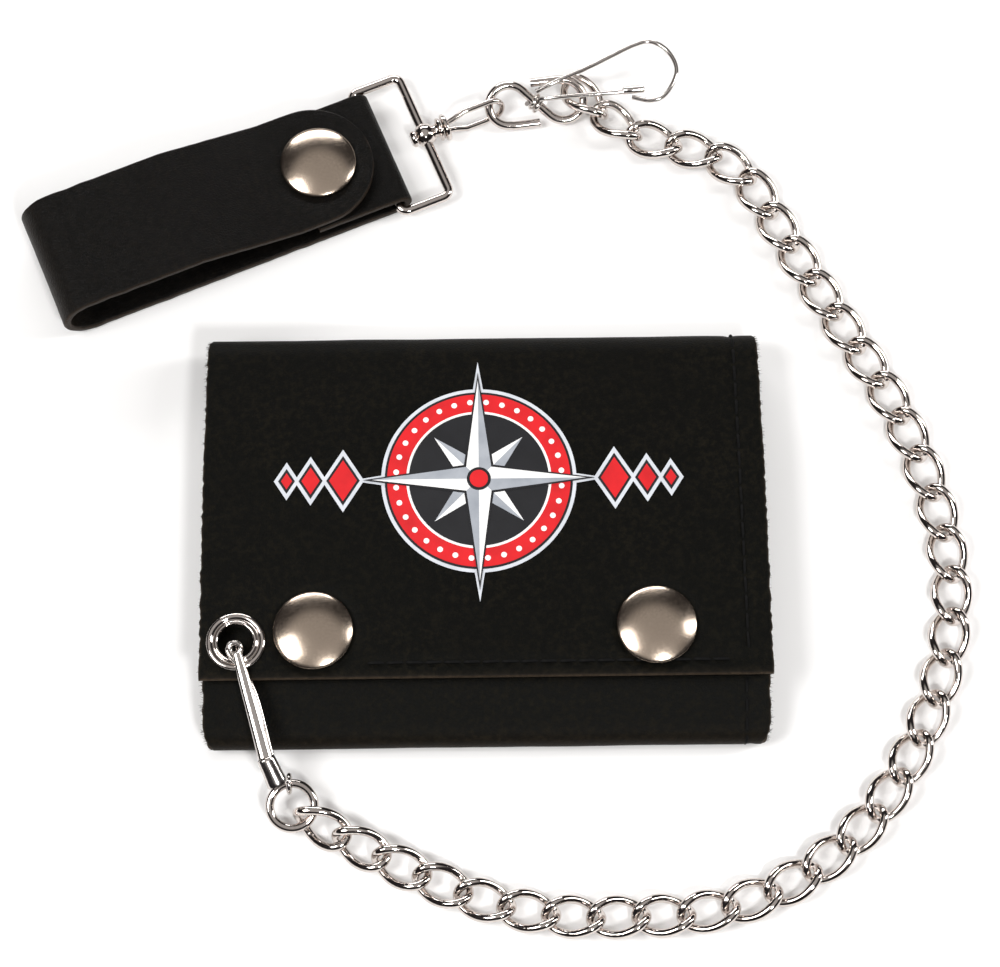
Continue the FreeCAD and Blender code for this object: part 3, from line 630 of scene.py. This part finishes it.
FILM = 0.8
GAP = 0.02          # stacked sheets stay this far off each other's nominal faces
THIN = FILM - 2 * GAP
bill = flat_sheet("bill_slot_lining", -50, 50, -33, 33, HIDE + FILM - GAP, THIN, LINING, 21)
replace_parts(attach(bill, "root"), "bill_lining")
for i in range(3):
    top = 26 - 9 * i
    z = HIDE + FILM * (2 + i)
    pocket = flat_sheet("card_pocket_%d" % (i + 1), -50, -0.2, -32, top, z - GAP, THIN, POCKET_HIDE,
                        30 + i)
    mouth = profile([line((top - 3, z), (top, z))], -1)
    hem = stitch_row("card_pocket_hem_%d" % (i + 1), mouth, (-48, 1.0), (-2, 1.0), THREAD, 40 + i, 0.0)
    for piece in (pocket, hem):
        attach(piece, "root")
    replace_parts(pocket, "card_pockets")
PANEL_IN = PANEL_Z - HIDE
studs = [(spot, 3.9, 0.0) for spot in SNAPS]
for i, top in enumerate((18, 4)):
    z = PANEL_IN - FILM * (i + 1)
    pocket = flat_sheet("panel_pocket_%d" % (i + 1), -50, 50, -26, top, z + GAP, THIN, POCKET_HIDE,
                        50 + i, up=-1, holes=studs)
    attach(pocket, "inner_fold")
    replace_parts(pocket, "panel_pockets")
behind = flat_sheet("flap_back_lining", -38, 50, -27, 12, FLAP_Z - HIDE - 1.0, 1.0, LINING, 60, up=-1,
                    holes=studs)
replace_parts(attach(behind, "flap"), "flap_lining")
print("pockets and linings made")


# %% Window frame
FRAME_POINTS = 48
SQUARENESS = 9      # how square the corners are: 2 would give an oval


def ring_frame(name, x0, x1, y0, y1, width, z, thick, finish):
    """A flat leather border with a rounded opening."""
    outer, inner, n = [], [], FRAME_POINTS
    for k in range(n):
        a = math.tau * (k + 0.5) / n
        for out, inset in ((outer, 0.0), (inner, width)):
            hx, hy = (x1 - x0) / 2 - inset, (y1 - y0) / 2 - inset
            cx, cy = math.cos(a), math.sin(a)
            soft = (abs(cx) ** SQUARENESS + abs(cy) ** SQUARENESS) ** (-1 / SQUARENESS)
            out.append(((x0 + x1) / 2 + hx * cx * soft, (y0 + y1) / 2 + hy * cy * soft))
    verts = [(x, y, h) for ring in (outer, inner) for x, y in ring for h in (z, z + thick)]
    faces = []
    for k in range(n):
        m = (k + 1) % n
        o0, o1, i0, i1 = 2 * k, 2 * m, 2 * (n + k), 2 * (n + m)
        faces += [(o0 + 1, o1 + 1, i1 + 1, i0 + 1), (o0, i0, i1, o1), (o0, o1, o1 + 1, o0 + 1),
                  (i0, i0 + 1, i1 + 1, i1)]
    flat = [(v[0] * MM, v[1] * MM, 0) for v in verts]
    return make_object(name, verts, faces, finish, flat, [0.0] * len(verts))


border = ring_frame("window_frame", 1.2, 50, -32, 26, 4.0, HIDE + FILM + 0.5, 0.8, POCKET_HIDE)
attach(border, "root")
print("window frame made")

# %% [markdown]
# ## The badge
# The flap carries a colour print. This one is a plain compass rose in a beaded ring with three
# lozenges on each side. It is drawn with circles and straight lines only and stands for no maker.
# Each colour is a thin film cut from its outline and laid on the leather: a pale ground first,
# then black, red and the details, as a screen printer lays them.

# %% Badge outlines
BADGE_X, BADGE_Y = -1.0, 9.5
RING_OUT, BAND_IN, FIELD_R = 18.0, 13.9, 13.4
LONG_R, SHORT_R, WAIST_R = 20.5, 12.0, 3.4
BEADS, BEAD_AT, BEAD_R = 32, 15.9, 0.55
LOZENGES = [(26.0, 3.2, 5.0), (32.2, 2.3, 3.6), (36.8, 1.6, 2.5)]
GROUND, LINE = 0.7, 0.45


def polar(degrees, r):
    return r * math.cos(math.radians(degrees)), BADGE_Y + r * math.sin(math.radians(degrees))


def disc(x, y, r, n=96):
    return [(x + r * math.cos(math.tau * i / n), y + r * math.sin(math.tau * i / n)) for i in range(n)]


def star(turn, reach, grow):
    """Outline of four compass points, made wider all round by grow."""
    out = []
    for k in range(4):
        out += [polar(turn + 90 * k, reach + 3.5 * grow), polar(turn + 90 * k + 45, WAIST_R + 1.3 * grow)]
    return out


def half_points(turn, reach, side):
    """One half of each of four compass points: the light halves or the dark ones."""
    return [[(0, BADGE_Y), polar(turn + 90 * k, reach),
             polar(turn + 90 * k + 45 * side, WAIST_R)][::side] for k in range(4)]


def lozenges(grow):
    """The lozenges of both sides, made wider all round by grow."""
    return [[(way * x - w - 1.2 * grow, BADGE_Y), (way * x, BADGE_Y - h - 1.9 * grow),
             (way * x + w + 1.2 * grow, BADGE_Y), (way * x, BADGE_Y + h + 1.9 * grow)]
            for x, w, h in LOZENGES for way in (-1, 1)]


BEAD_DISCS = [disc(*polar(360 * (k + 0.5) / BEADS, BEAD_AT), BEAD_R, 20) for k in range(BEADS)]
print("badge beads and lozenges:", len(BEAD_DISCS), len(lozenges(0)))


# %% Badge films
FILM_Z, FILM_UNDER = 0.045, 0.1      # a film's step in height, and how far it reaches into the hide
GRID = 1.5


def flap_top(x, y):
    """Height of the flap's outside at a point of its front, with its swells."""
    s = flap_s(y)
    if y >= FLAP_KNEE:
        slanted = (y - FLAP_KNEE) / math.cos(math.radians(TOP_SLOPE))
        s = FLAP_PATH["length"] - (FLAP_KNEE - FLAP_EDGE) - slanted
    return on_sheet(FLAP_PATH, x, s, swell(x, s, 1.0) - flap_groove(x, s)).z


def dense(outline):
    """The outline with points no further apart than half a grid step, so that layers lie parallel."""
    out = []
    for a, b in zip(outline, outline[1:] + outline[:1]):
        n = max(1, math.ceil(math.dist(a, b) / (GRID / 2)))
        out += [(a[0] + (b[0] - a[0]) * k / n, a[1] + (b[1] - a[1]) * k / n) for k in range(n)]
    return out


def film(name, outlines, layer, finish):
    """A thin printed film: the union of its outlines, laid on the flap."""
    points, rings = [], []
    for outline in outlines:
        ring = [(x + BADGE_X, y) for x, y in dense(outline)]
        rings.append(list(range(len(points), len(points) + len(ring))))
        points += ring
    xs, ys = [p[0] for p in points], [p[1] for p in points]
    gx = np.arange(math.ceil(min(xs) / GRID), math.floor(max(xs) / GRID) + 1) * GRID
    gy = np.arange(math.ceil((min(ys) - FLAP_KNEE) / GRID),
                   math.floor((max(ys) - FLAP_KNEE) / GRID) + 1) * GRID + FLAP_KNEE
    points += [(x, y) for x in gx for y in gy]
    spots, _, tris, *_ = geometry.delaunay_2d_cdt([Vector(p) for p in points], [], rings, 1, 1e-5)
    used = sorted({i for t in tris for i in t})
    index = {old: new for new, old in enumerate(used)}
    tris = [tuple(index[i] for i in t) for t in tris]
    n = len(used)
    ground = [(spots[i].x, spots[i].y, flap_top(spots[i].x, spots[i].y)) for i in used]
    verts = [(x, y, z + FILM_Z * layer) for x, y, z in ground] + [(x, y, z - FILM_UNDER) for x, y, z in ground]
    edges = {}
    for t in tris:
        for a, b in ((t[0], t[1]), (t[1], t[2]), (t[2], t[0])):
            edges[(a, b)] = True
    walls = [(a, b, b + n, a + n) for a, b in edges if (b, a) not in edges]
    faces = tris + [(c + n, b + n, a + n) for a, b, c in tris] + walls
    made = make_object(name, verts, faces, finish, sharp=30)
    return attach(made, "flap")


middle = [disc(0, BADGE_Y, r) for r in (RING_OUT + GROUND, RING_OUT, RING_OUT - LINE, BAND_IN, FIELD_R)]
film("badge_ground_silver", [middle[0], star(90, LONG_R, GROUND + LINE)] + lozenges(GROUND), 1, INK_SILVER)
film("badge_ring_black", [middle[1]] + lozenges(0.0), 2, INK_BLACK)
film("badge_band_red", [middle[2]] + lozenges(-LINE), 3, INK_RED)
film("badge_beads_white", [middle[3]] + BEAD_DISCS, 4, INK_WHITE)
film("badge_field_black", [middle[4]], 5, INK_BLACK)
film("badge_short_points_white", half_points(45, SHORT_R, 1), 6, INK_WHITE)
film("badge_short_points_grey", half_points(45, SHORT_R, -1), 6, INK_GREY)
film("badge_long_points_black", [star(90, LONG_R, LINE)], 7, INK_BLACK)
film("badge_long_points_white", half_points(90, LONG_R, 1), 8, INK_WHITE)
film("badge_long_points_grey", half_points(90, LONG_R, -1), 8, INK_GREY)
film("badge_hub_black", [disc(0, BADGE_Y, 2.3, 48)], 9, INK_BLACK)
film("badge_hub_red", [disc(0, BADGE_Y, 1.75, 48)], 10, INK_RED)
print("badge films laid, total thickness mm:", round(10 * FILM_Z, 2))

# %% [markdown]
# ## Belt loop
# A strap of thicker hide folds over a belt and snaps shut on itself. The lower layer lies on
# the table, wraps round the ring's bar and comes back as a short tail under the stud. The
# upper layer is the lower one's continuation round the fold, so it's one sheet that runs
# from the back round the fold to the front.

# %% Strap
STRAP_HEADING = math.radians(22.0)
STRAP_FOLD = (-87.2, 56.1)
STRAP_W, STRAP_T, STRAP_R = 25.4, 1.6, 6.2
BAR_AT, BAR_Z, WRAP_R = 71.2, 2.95, 2.95
STRAP_JOIN, TAIL_END = 35.0, 54.2
SNAP_AT, SNAP_Z, FRONT_END, SETTLE = 59.0, 8.6, 70.0, 50.4


def on_belt(across, along, height):
    c, s = math.cos(STRAP_HEADING), math.sin(STRAP_HEADING)
    return (STRAP_FOLD[0] + along * c + across * s, STRAP_FOLD[1] + along * s - across * c, height)


UPPER = profile([line((STRAP_JOIN, 0), (STRAP_R, 0)), arc((STRAP_R, STRAP_R), STRAP_R, 270, 90),
                 line((30.0, 2 * STRAP_R), (SETTLE, SNAP_Z)), line((SETTLE, SNAP_Z), (FRONT_END, SNAP_Z))],
                -1, soften=5.0)
LOWER = profile([line((STRAP_JOIN, 0), (BAR_AT, 0)), arc((BAR_AT, BAR_Z), WRAP_R, -90, 90),
                 line((BAR_AT, BAR_Z + WRAP_R), (TAIL_END, BAR_Z + WRAP_R))], 1)
STRAP_FOLD_S = STRAP_JOIN - STRAP_R + STRAP_R * math.pi / 2


def upper_half(s):
    """Half width of the upper layer, whose free end is round."""
    past = s - (UPPER["length"] - STRAP_W / 2)
    cut = 0.12 * noise.noise((s / 3, 5, 0))
    if past <= 0:
        return STRAP_W / 2 - 0.12 + cut
    return max(0.9, math.sqrt(max(0.0, (STRAP_W / 2) ** 2 - min(past, STRAP_W / 2 - 0.03) ** 2)) - 0.12 + cut)


# The strap is painted lighter along its fold, partly for wear and partly as a painted highlight of the fold's
# sheen.
def strap_fold_wear_and_sheen(x, s):
    return 0.3 * math.exp(-((s - STRAP_FOLD_S) / 5) ** 2)


def strap_groove(x, s):
    r = math.hypot(x, s - (UPPER["length"] - (FRONT_END - SNAP_AT)))
    return 0.3 * math.exp(-((r - DENT_R) / DENT_SOFT) ** 2)


upper = sheet("strap_upper_leather", UPPER, upper_half, STRAP_T, STRAP_HIDE, place=on_belt, seed=70.0,
              size=0.16, wear_and_sheen=strap_fold_wear_and_sheen, groove=strap_groove)
lower = sheet("strap_lower_leather", LOWER,
              lambda s: STRAP_W / 2 - 0.12 + 0.1 * noise.noise((s / 3, 6, 0)),
              STRAP_T, STRAP_HIDE, place=on_belt, seed=71.0, size=0.06)
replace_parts(upper, "strap_front")
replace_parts(lower, "strap_back")
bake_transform(upper)
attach(lower, "belt_back")
print("strap sheets", len(upper.data.vertices), len(lower.data.vertices))

# %% [markdown]
# ## Turned and rolled metal
# The stud caps, the grommet and the swivel are round about an axis, so each is a short list of
# radii and heights turned round it: a shallow dome with a rolled rim for a cap, a double roll
# for the grommet, and a ball, neck and flange for the swivel's barrel. They are a little finer
# than the CAD solids they stand for, which keep only the sizes that matter to fit and motion.

# %% Turning helper and caps
TURN_STEPS, TURN_MIN = 72, 0.004
UP = (0, 0, 1)


def frame_of(axis):
    """Two directions at right angles to an axis and to each other."""
    axis = Vector(axis).normalized()
    first = axis.cross(Vector((0, 0, 1))) if abs(axis.z) < 0.9 else Vector((1, 0, 0))
    first.normalize()
    return axis, first, axis.cross(first)


def turned(centre, axis, section):
    """Vertices and faces of a (radius, height) section turned about an axis."""
    axis, a, b = frame_of(axis)
    verts = []
    for r, h in section:
        for k in range(TURN_STEPS):
            t = math.tau * k / TURN_STEPS
            verts.append(Vector(centre) + axis * h + (a * math.cos(t) + b * math.sin(t)) * max(r, TURN_MIN))
    return verts, tube_faces(len(section), TURN_STEPS)


def metal_piece(name, parts, finish, body, *nodes, slot=None, sharp=50):
    """One object from several (vertices, faces) parts."""
    verts, faces = [], []
    for part_verts, part_faces in parts:
        base = len(verts)
        verts += part_verts
        faces += [tuple(i + base for i in f) for f in part_faces]
    made = make_object(name, verts, faces, finish, sharp=sharp)
    if nodes:
        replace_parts(made, *nodes)
    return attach(made, body)


CAP_R, CAP_RISE = 7.6, 2.2
DOME = [(CAP_R * 0.945 * f, CAP_RISE - 1.45 * f ** 2.2)
        for f in (0, 0.04, 0.12, 0.22, 0.34, 0.46, 0.58, 0.7, 0.8, 0.88, 0.94, 1)]
CAP = DOME + [(7.38, 0.62), (7.53, 0.5), (7.6, 0.33), (7.56, 0.15), (7.42, 0.04), (7.0, 0.0), (0.0, 0.0)]
SOCKET = [(0.0, 0.0), (4.3, 0.0), (4.5, -0.2), (4.5, -0.7), (4.2, -0.9), (2.7, -0.9), (2.5, -0.6),
          (2.5, -0.2), (0.0, -0.2)]
GROMMET_ROLL = [(3.72, -1.6), (5.5, 0.0), (5.62, 0.16), (5.6, 0.36), (5.42, 0.58), (5.1, 0.7),
                (4.78, 0.66), (4.52, 0.5), (4.36, 0.3), (4.2, 0.3), (4.08, 0.48), (3.88, 0.66),
                (3.62, 0.7), (3.42, 0.6), (3.32, 0.38), (3.3, 0.0), (3.3, -1.6), (3.72, -1.6)]
metal_piece("press_stud_caps", [turned((x, y, FLAP_Z), UP, CAP) for x, y in SNAPS], SATIN_NICKEL,
            "flap", "flap_snap_caps", slot="cap_satin_nickel")
metal_piece("belt_stud_cap", [turned(on_belt(0, SNAP_AT, SNAP_Z), UP, CAP)], SATIN_NICKEL,
            "belt_front", "belt_snap_cap", slot="cap_satin_nickel")
metal_piece("belt_stud_socket", [turned(on_belt(0, SNAP_AT, SNAP_Z - STRAP_T), UP, SOCKET)],
            BRIGHT_NICKEL, "belt_front", slot="fitting_nickel")
metal_piece("grommet_roll", [turned((*GROMMET, FLAP_Z), UP, GROMMET_ROLL)], BRIGHT_NICKEL,
            "flap", "grommet", slot="fitting_nickel", sharp=70)
print("caps and grommet turned")

# %% [markdown]
# ## Wire work
# The clip, the S-shaped hook, its safety spring and the swivel's eye are bent wire. Each is a
# round section swept along a smooth path of a few points. The clip's lever is a half tube, so
# its section is wider than it is tall and it grows towards the crimped sleeve.

# %% Wire helper
def through(points, steps=8):
    """A smooth path through 3-D points."""
    pts = [Vector(p) for p in points]
    ext = [pts[0] * 2 - pts[1]] + pts + [pts[-1] * 2 - pts[-2]]
    out = []
    for a, b, c, d in zip(ext, ext[1:], ext[2:], ext[3:]):
        second, third = 2 * a - 5 * b + 4 * c - d, 3 * b - a - 3 * c + d
        for i in range(steps):
            t = i / steps
            out.append(0.5 * (2 * b + (c - a) * t + second * t * t + third * t ** 3))
    return out + [pts[-1]]


def swept(path, widths, tall=1.0, up=None, sides=16, closed=False):
    """A tube along a path. widths are its radii from start to end, and tall is height over width."""
    n = len(path)
    verts = []
    keep = Vector(up) if up else None
    for i, p in enumerate(path):
        if closed:
            ahead = path[(i + 1) % n] - path[i - 1]
        else:
            ahead = path[min(i + 1, n - 1)] - path[max(i - 1, 0)]
        ahead.normalize()
        if keep is None:
            keep = ahead.orthogonal()
        lift = (keep - ahead * keep.dot(ahead)).normalized()
        if not up:
            keep = lift
        side = ahead.cross(lift)
        r = float(np.interp(i / (n - 1), np.linspace(0, 1, len(widths)), widths))
        for k in range(sides):
            t = math.tau * k / sides
            verts.append(p + side * (r * math.cos(t)) + lift * (r * tall * math.sin(t)))
    faces = tube_faces(n, sides, closed=closed)
    if not closed:
        faces += [tuple(range(sides)), tuple((n - 1) * sides + k for k in range(sides))]
    return verts, faces


def loop(centre, axis, radius, wire, steps=40):
    """A closed ring of wire round an axis."""
    axis, a, b = frame_of(axis)
    turns = [math.tau * k / steps for k in range(steps)]
    path = [Vector(centre) + (a * math.cos(t) + b * math.sin(t)) * radius for t in turns]
    return swept(path, [wire], up=axis, closed=True)


# %% Wallet clip
CLIP_EYE, CLIP_STEP = Vector((-47.1, -23.4, 13.7)), Vector((-41.3, -43.97, 10.2))
CLIP_END, RING_PIVOT = Vector((-39.1, -48.5, 7.6)), Vector((-37.2, -47.75, 5.0))
clip_run = (CLIP_STEP - CLIP_EYE).normalized()
clip_side = clip_run.cross(Vector((0, 0, 1))).normalized()
lever_from = Vector((-46.5, -25.0, 14.45))
lever = swept([lever_from.lerp(CLIP_STEP, t / 20) for t in range(21)],
              [0.9, 1.12, 1.2, 1.25, 1.3, 1.35, 1.4], tall=0.62, up=UP, sides=24)
wire_path = through([(-46.9, -23.2, 9.9), (-47.1, -22.6, 12.2), (-47.7, -22.6, 13.7),
                     (-48.2, -23.6, 14.2), (-47.9, -25.2, 14.3),
                     CLIP_STEP.lerp(CLIP_EYE, 0.6) - clip_side * 1.3 + Vector((0, 0, 0.5)),
                     CLIP_STEP - clip_side * 1.25 + Vector((0, 0, -0.3))])
left_wire = swept(wire_path, [0.45])
sleeve_path = [CLIP_STEP.lerp(CLIP_END, t) for t in (-0.02, 0, 0.03, 0.1, 0.5, 0.85, 0.95, 1.0, 1.02)]
sleeve = swept(sleeve_path, [1.3, 1.55, 1.66, 1.72, 1.84, 1.98, 2.05, 1.98, 1.6], tall=0.74, up=UP,
               sides=28)
back_leg = swept(through([(-46.9, -23.3, 10.1), (-46.3, -26.0, 10.05), (-43.6, -31.5, 10.1),
                          (-41.9, -41.0, 9.3), CLIP_STEP + Vector((0, 0, -0.9))]), [0.55])
neck = swept(through([(-39.9, -46.0, 7.5), (-38.6, -47.2, 7.3), (-37.5, -47.7, 6.65)]), [0.55])
eye_loop = loop(CLIP_EYE + Vector((0.15, -0.5, 0.62)), (0.2, -0.4, 1), 1.05, 0.5)
ring_loop = loop(RING_PIVOT, (1.0, 0.0, 0.0), 1.6, 0.48)
metal_piece("wallet_clip_wire", [lever, left_wire, back_leg, sleeve, eye_loop, ring_loop, neck],
            SPRING_STEEL, "clip", "wallet_clip", slot="spring_steel")
print("clip from", [round(c, 1) for c in CLIP_EYE], "to", [round(c, 1) for c in CLIP_END])

# %% Hook, spring and swivel
HOOK_MID, HOOK_TURN, HOOK_ROLL = Vector((11.48, 93.64, 3.24)), math.radians(5.7), math.radians(29.0)
HOOK_WIRE_R, HOOK_R, HOOK_HALF = 0.9, 4.1, 5.6
hook_long = Vector((math.cos(HOOK_TURN), math.sin(HOOK_TURN), 0))
hook_wide = Vector((-math.sin(HOOK_TURN) * math.cos(HOOK_ROLL), math.cos(HOOK_TURN) * math.cos(HOOK_ROLL),
                    math.sin(HOOK_ROLL)))


def on_hook(along, across):
    return HOOK_MID + hook_long * along + hook_wide * across


touch = math.degrees(math.acos(HOOK_R / HOOK_HALF))
half_hook = [(HOOK_HALF + HOOK_R * math.cos(math.radians(a)), HOOK_R * math.sin(math.radians(a)))
             for a in np.linspace(touch - 180, 92, 40)]
RIGHT_TAIL, LEFT_TAIL = 6.4, 6.0
right = [on_hook(*p) for p in half_hook]
right += [on_hook(HOOK_HALF - t, HOOK_R + 0.12 - 0.02 * t) for t in np.linspace(0.5, RIGHT_TAIL, 12)]
left = [on_hook(-p[0], -p[1]) for p in half_hook]
left += [on_hook(-HOOK_HALF + t, -HOOK_R - 0.12 + 0.02 * t) for t in np.linspace(0.5, LEFT_TAIL, 14)]
metal_piece("hook_wire", [swept(left[::-1] + right, [HOOK_WIRE_R], up=hook_long.cross(hook_wide), sides=20)],
            BRIGHT_NICKEL, "hook", "hook_body", slot="hook_nickel")
slant = (right[0] - left[0]).normalized()
SPRING_R, COIL_R, COIL_TURNS, COIL_LONG, COIL_STEPS = 0.48, 1.46, 2.5, 2.6, 60
_, coil_a, coil_b = frame_of(slant)


def on_coil(k):
    """A point of the spring's coil, which winds round the hook's slanting middle."""
    a = math.tau * COIL_TURNS * k / COIL_STEPS
    outward = (coil_a * math.cos(a) + coil_b * math.sin(a)) * COIL_R
    return HOOK_MID + slant * (COIL_LONG * (k / COIL_STEPS - 0.5)) + outward


coil = [on_coil(k) for k in range(COIL_STEPS + 1)]
top_wire = through([(11.47, 95.07, 5.5), (14.2, 96.1, 6.4), (17.0, 97.3, 6.85), (22.72, 99.85, 7.1),
                    (27.2, 102.0, 7.6), (31.75, 104.1, 8.0), (35.1, 104.7, 8.0), (38.4, 102.5, 8.0),
                    (40.0, 98.1, 8.0), (37.9, 93.4, 7.5), (34.8, 92.05, 7.0), (30.9, 92.9, 6.8)])
low_wire = through([(12.28, 93.36, 5.2), (14.0, 93.22, 6.0), (17.5, 93.25, 6.7), (22.0, 93.48, 7.0),
                    (29.3, 94.0, 7.1), (32.8, 94.4, 7.1)])
tip = [Vector((29.0, 94.2, 7.1)).lerp(Vector((33.4, 94.6, 7.1)), t) for t in (0, 0.04, 0.5, 0.96, 1)]
wires = [swept(path, [SPRING_R], sides=12) for path in (coil, top_wire, low_wire)]
metal_piece("safety_spring", wires + [swept(tip, [0.6, 0.78, 0.8, 0.78, 0.5])], SPRING_STEEL,
            "gate", "hook_spring", slot="spring_steel")
FAR_BAR = 81.8
strap_way = Vector((math.cos(STRAP_HEADING), math.sin(STRAP_HEADING), 0))
BARREL = [(0.95, -1.6), (1.5, -1.6), (2.0, -1.2), (2.35, -0.5), (2.4, 0.2), (2.25, 1.0), (1.85, 1.7),
          (1.4, 2.1), (1.35, 2.6), (1.75, 2.9), (2.3, 3.1), (2.45, 3.35), (2.3, 3.7), (1.6, 3.8),
          (0.95, 3.8), (0.95, -1.6)]
metal_piece("swivel_barrel_cast", [turned(on_belt(0, FAR_BAR, BAR_Z), strap_way, BARREL)],
            BRIGHT_NICKEL, "loop_ring", "swivel_barrel", slot="fitting_nickel", sharp=70)
HEAD = [(0.0, -2.85), (1.3, -2.85), (1.7, -2.5), (1.7, -1.95), (0.9, -1.85), (0.9, 4.05), (2.2, 4.05),
        (2.75, 4.3), (2.85, 4.7), (2.6, 5.1), (1.7, 5.35), (0.0, 5.35)]
EYE_ROLL, EYE_HALF, EYE_R, EYE_TURN = math.radians(19), 2.4, 0.6, 96.5
across_strap = Vector(on_belt(1, 0, 0)) - Vector(on_belt(0, 0, 0))
eye_up = Vector((0, 0, math.cos(EYE_ROLL))) - across_strap * math.sin(EYE_ROLL)


def axis_at(along):
    """A point on the swivel's axis, which runs on from the strap."""
    return Vector(on_belt(0, along, BAR_Z))


neck_end, eye_start, eye_turn = axis_at(FAR_BAR + 4.9), axis_at(FAR_BAR + 6.5), axis_at(EYE_TURN)
eye_path = [neck_end + eye_up * 1.0, eye_start + eye_up * 1.35]
eye_path += [eye_start.lerp(eye_turn, t) + eye_up * EYE_HALF for t in (0.3, 0.6, 0.9)]
eye_path += [eye_turn + (strap_way * math.sin(a) + eye_up * math.cos(a)) * EYE_HALF
             for a in np.linspace(0, math.pi, 15)]
eye_path += [eye_turn.lerp(eye_start, t) - eye_up * EYE_HALF for t in (0.1, 0.4, 0.7)]
eye_path += [eye_start - eye_up * 1.35, neck_end - eye_up * 1.0]
metal_piece("swivel_eye_wire", [turned(on_belt(0, FAR_BAR, BAR_Z), strap_way, HEAD),
                                swept(eye_path, [EYE_R], up=strap_way.cross(eye_up))],
            BRIGHT_NICKEL, "swivel", "swivel_eye", slot="fitting_nickel")
print("hook, spring and swivel made")

# %% [markdown]
# ## Parts kept from the CAD model
# The chain links, the rings and the hidden fittings already have their true shape, so the CAD
# solids stay and take the bright plate, and the window takes the vinyl. Their faces are
# smoothed except where two surfaces meet at an edge.

# %% Finish the CAD metal
for name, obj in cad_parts.items():
    if obj.hide_render:
        continue
    finish = VINYL if name == "id_window" else BRIGHT_NICKEL
    obj.data.materials.clear()
    obj.data.materials.append(finish)
    for place in obj.material_slots:
        place.link = "OBJECT"
        place.material = finish
    obj.data.shade_smooth()
    obj.data.set_sharp_from_angle(angle=math.radians(35))
print("metal and window nodes finished")

# %% [markdown]
# ## Light, floor and camera
# A product table: a pale floor and four softboxes, to the left, right, back and front, whose
# reflections draw bright lines along the wire. Polished metal shows what is round it, so
# the surroundings run from pale overhead to dark near the horizon, which gives the chain its
# dark edges.

# %% Surroundings and floor
world = bpy.data.worlds.new("studio")
bpy.context.scene.world = world
world.use_nodes = True
sky = world.node_tree
sky.nodes.clear()
way = add(sky, "TexCoord").outputs["Generated"]
upward = add(sky, "SeparateXYZ", {0: way}).outputs["Z"]
height = add(sky, "MapRange", {"Value": upward, "From Min": 0.7, "From Max": 0.9},
             interpolation_type="SMOOTHSTEP")
air = add(sky, "Mix", {0: height.outputs[0], 6: linear("#2e2b2c"), 7: linear("#c9c6c4")},
          data_type="RGBA")
back = add(sky, "Background", {"Color": air.outputs[2], "Strength": 0.8})
add(sky, "OutputWorld", {"Surface": back.outputs[0]})

FLOOR_SIZE = 4.0
FLOOR, floor_tree = material("paper_backdrop_white")
paper = add(floor_tree, "TexNoise", {"Scale": 30.0, "Detail": 4.0})
tone = add(floor_tree, "Mix", {0: paper.outputs["Fac"], 6: linear("#fbfaf9"), 7: linear("#f3f2f1")},
           data_type="RGBA")
surface(floor_tree, {"Base Color": tone.outputs[2], "Roughness": 0.8})
half = FLOOR_SIZE / 2
floor = bpy.data.meshes.new("floor")
floor.from_pydata([(-half, -half, 0), (half, -half, 0), (half, half, 0), (-half, half, 0)], [],
                  [(0, 1, 2, 3)])
floor.materials.append(FLOOR)
floor_object = bpy.data.objects.new("floor", floor)
bpy.context.scene.collection.objects.link(floor_object)
floor_object.location.z = CAD_LOW.z - 0.0002
print("floor at", round(floor_object.location.z / MM, 2), "mm")


# %% Lights
def softbox(name, at, towards, size, watts):
    data = bpy.data.lights.new(name, "AREA")
    data.shape = "RECTANGLE"
    data.size, data.size_y = size
    data.energy = watts
    obj = bpy.data.objects.new(name, data)
    bpy.context.scene.collection.objects.link(obj)
    obj.location = at
    obj.rotation_euler = (Vector(towards) - Vector(at)).to_track_quat("-Z", "Y").to_euler()
    return obj


TABLE = (0.0, 0.01, 0.0)
softbox("left_box", (-0.42, -0.12, 0.6), TABLE, (0.3, 0.3), 3.4)
softbox("right_box", (0.62, 0.12, 0.38), TABLE, (0.14, 0.5), 2.6)
softbox("back_box", (-0.1, 0.7, 0.3), TABLE, (0.6, 0.12), 2.6)
softbox("front_glint", (0.14, -0.36, 0.5), TABLE, (0.09, 0.09), 1.6)
print("four softboxes")

# %% [markdown]
# The camera looks down at the table from 71 degrees above it, from about half a metre, which
# is a long lens and keeps the wallet's sides square.

# %% Camera
CAMERA_HEIGHT, CAMERA_TURN, CAMERA_REACH = math.radians(71.3), math.radians(-0.733), 0.55976
TARGET = Vector((3.09, 12.84, 0.0)) * MM
SENSOR, LENS = 36.0, 102.8304
camera_data = bpy.data.cameras.new("camera")
camera_data.sensor_width, camera_data.lens = SENSOR, LENS
camera = bpy.data.objects.new("camera", camera_data)
bpy.context.scene.collection.objects.link(camera)
towards_camera = Vector((math.sin(CAMERA_TURN) * math.cos(CAMERA_HEIGHT),
                         -math.cos(CAMERA_TURN) * math.cos(CAMERA_HEIGHT),
                         math.sin(CAMERA_HEIGHT)))
camera.location = TARGET + towards_camera * CAMERA_REACH
camera.rotation_mode = "QUATERNION"
camera.rotation_quaternion = (-towards_camera).to_track_quat("-Z", "Y")
camera_data.clip_start, camera_data.clip_end = 0.01, 10.0
bpy.context.scene.camera = camera
bpy.context.scene.view_settings.view_transform = "Standard"
print("camera at", [round(c, 3) for c in camera.location])
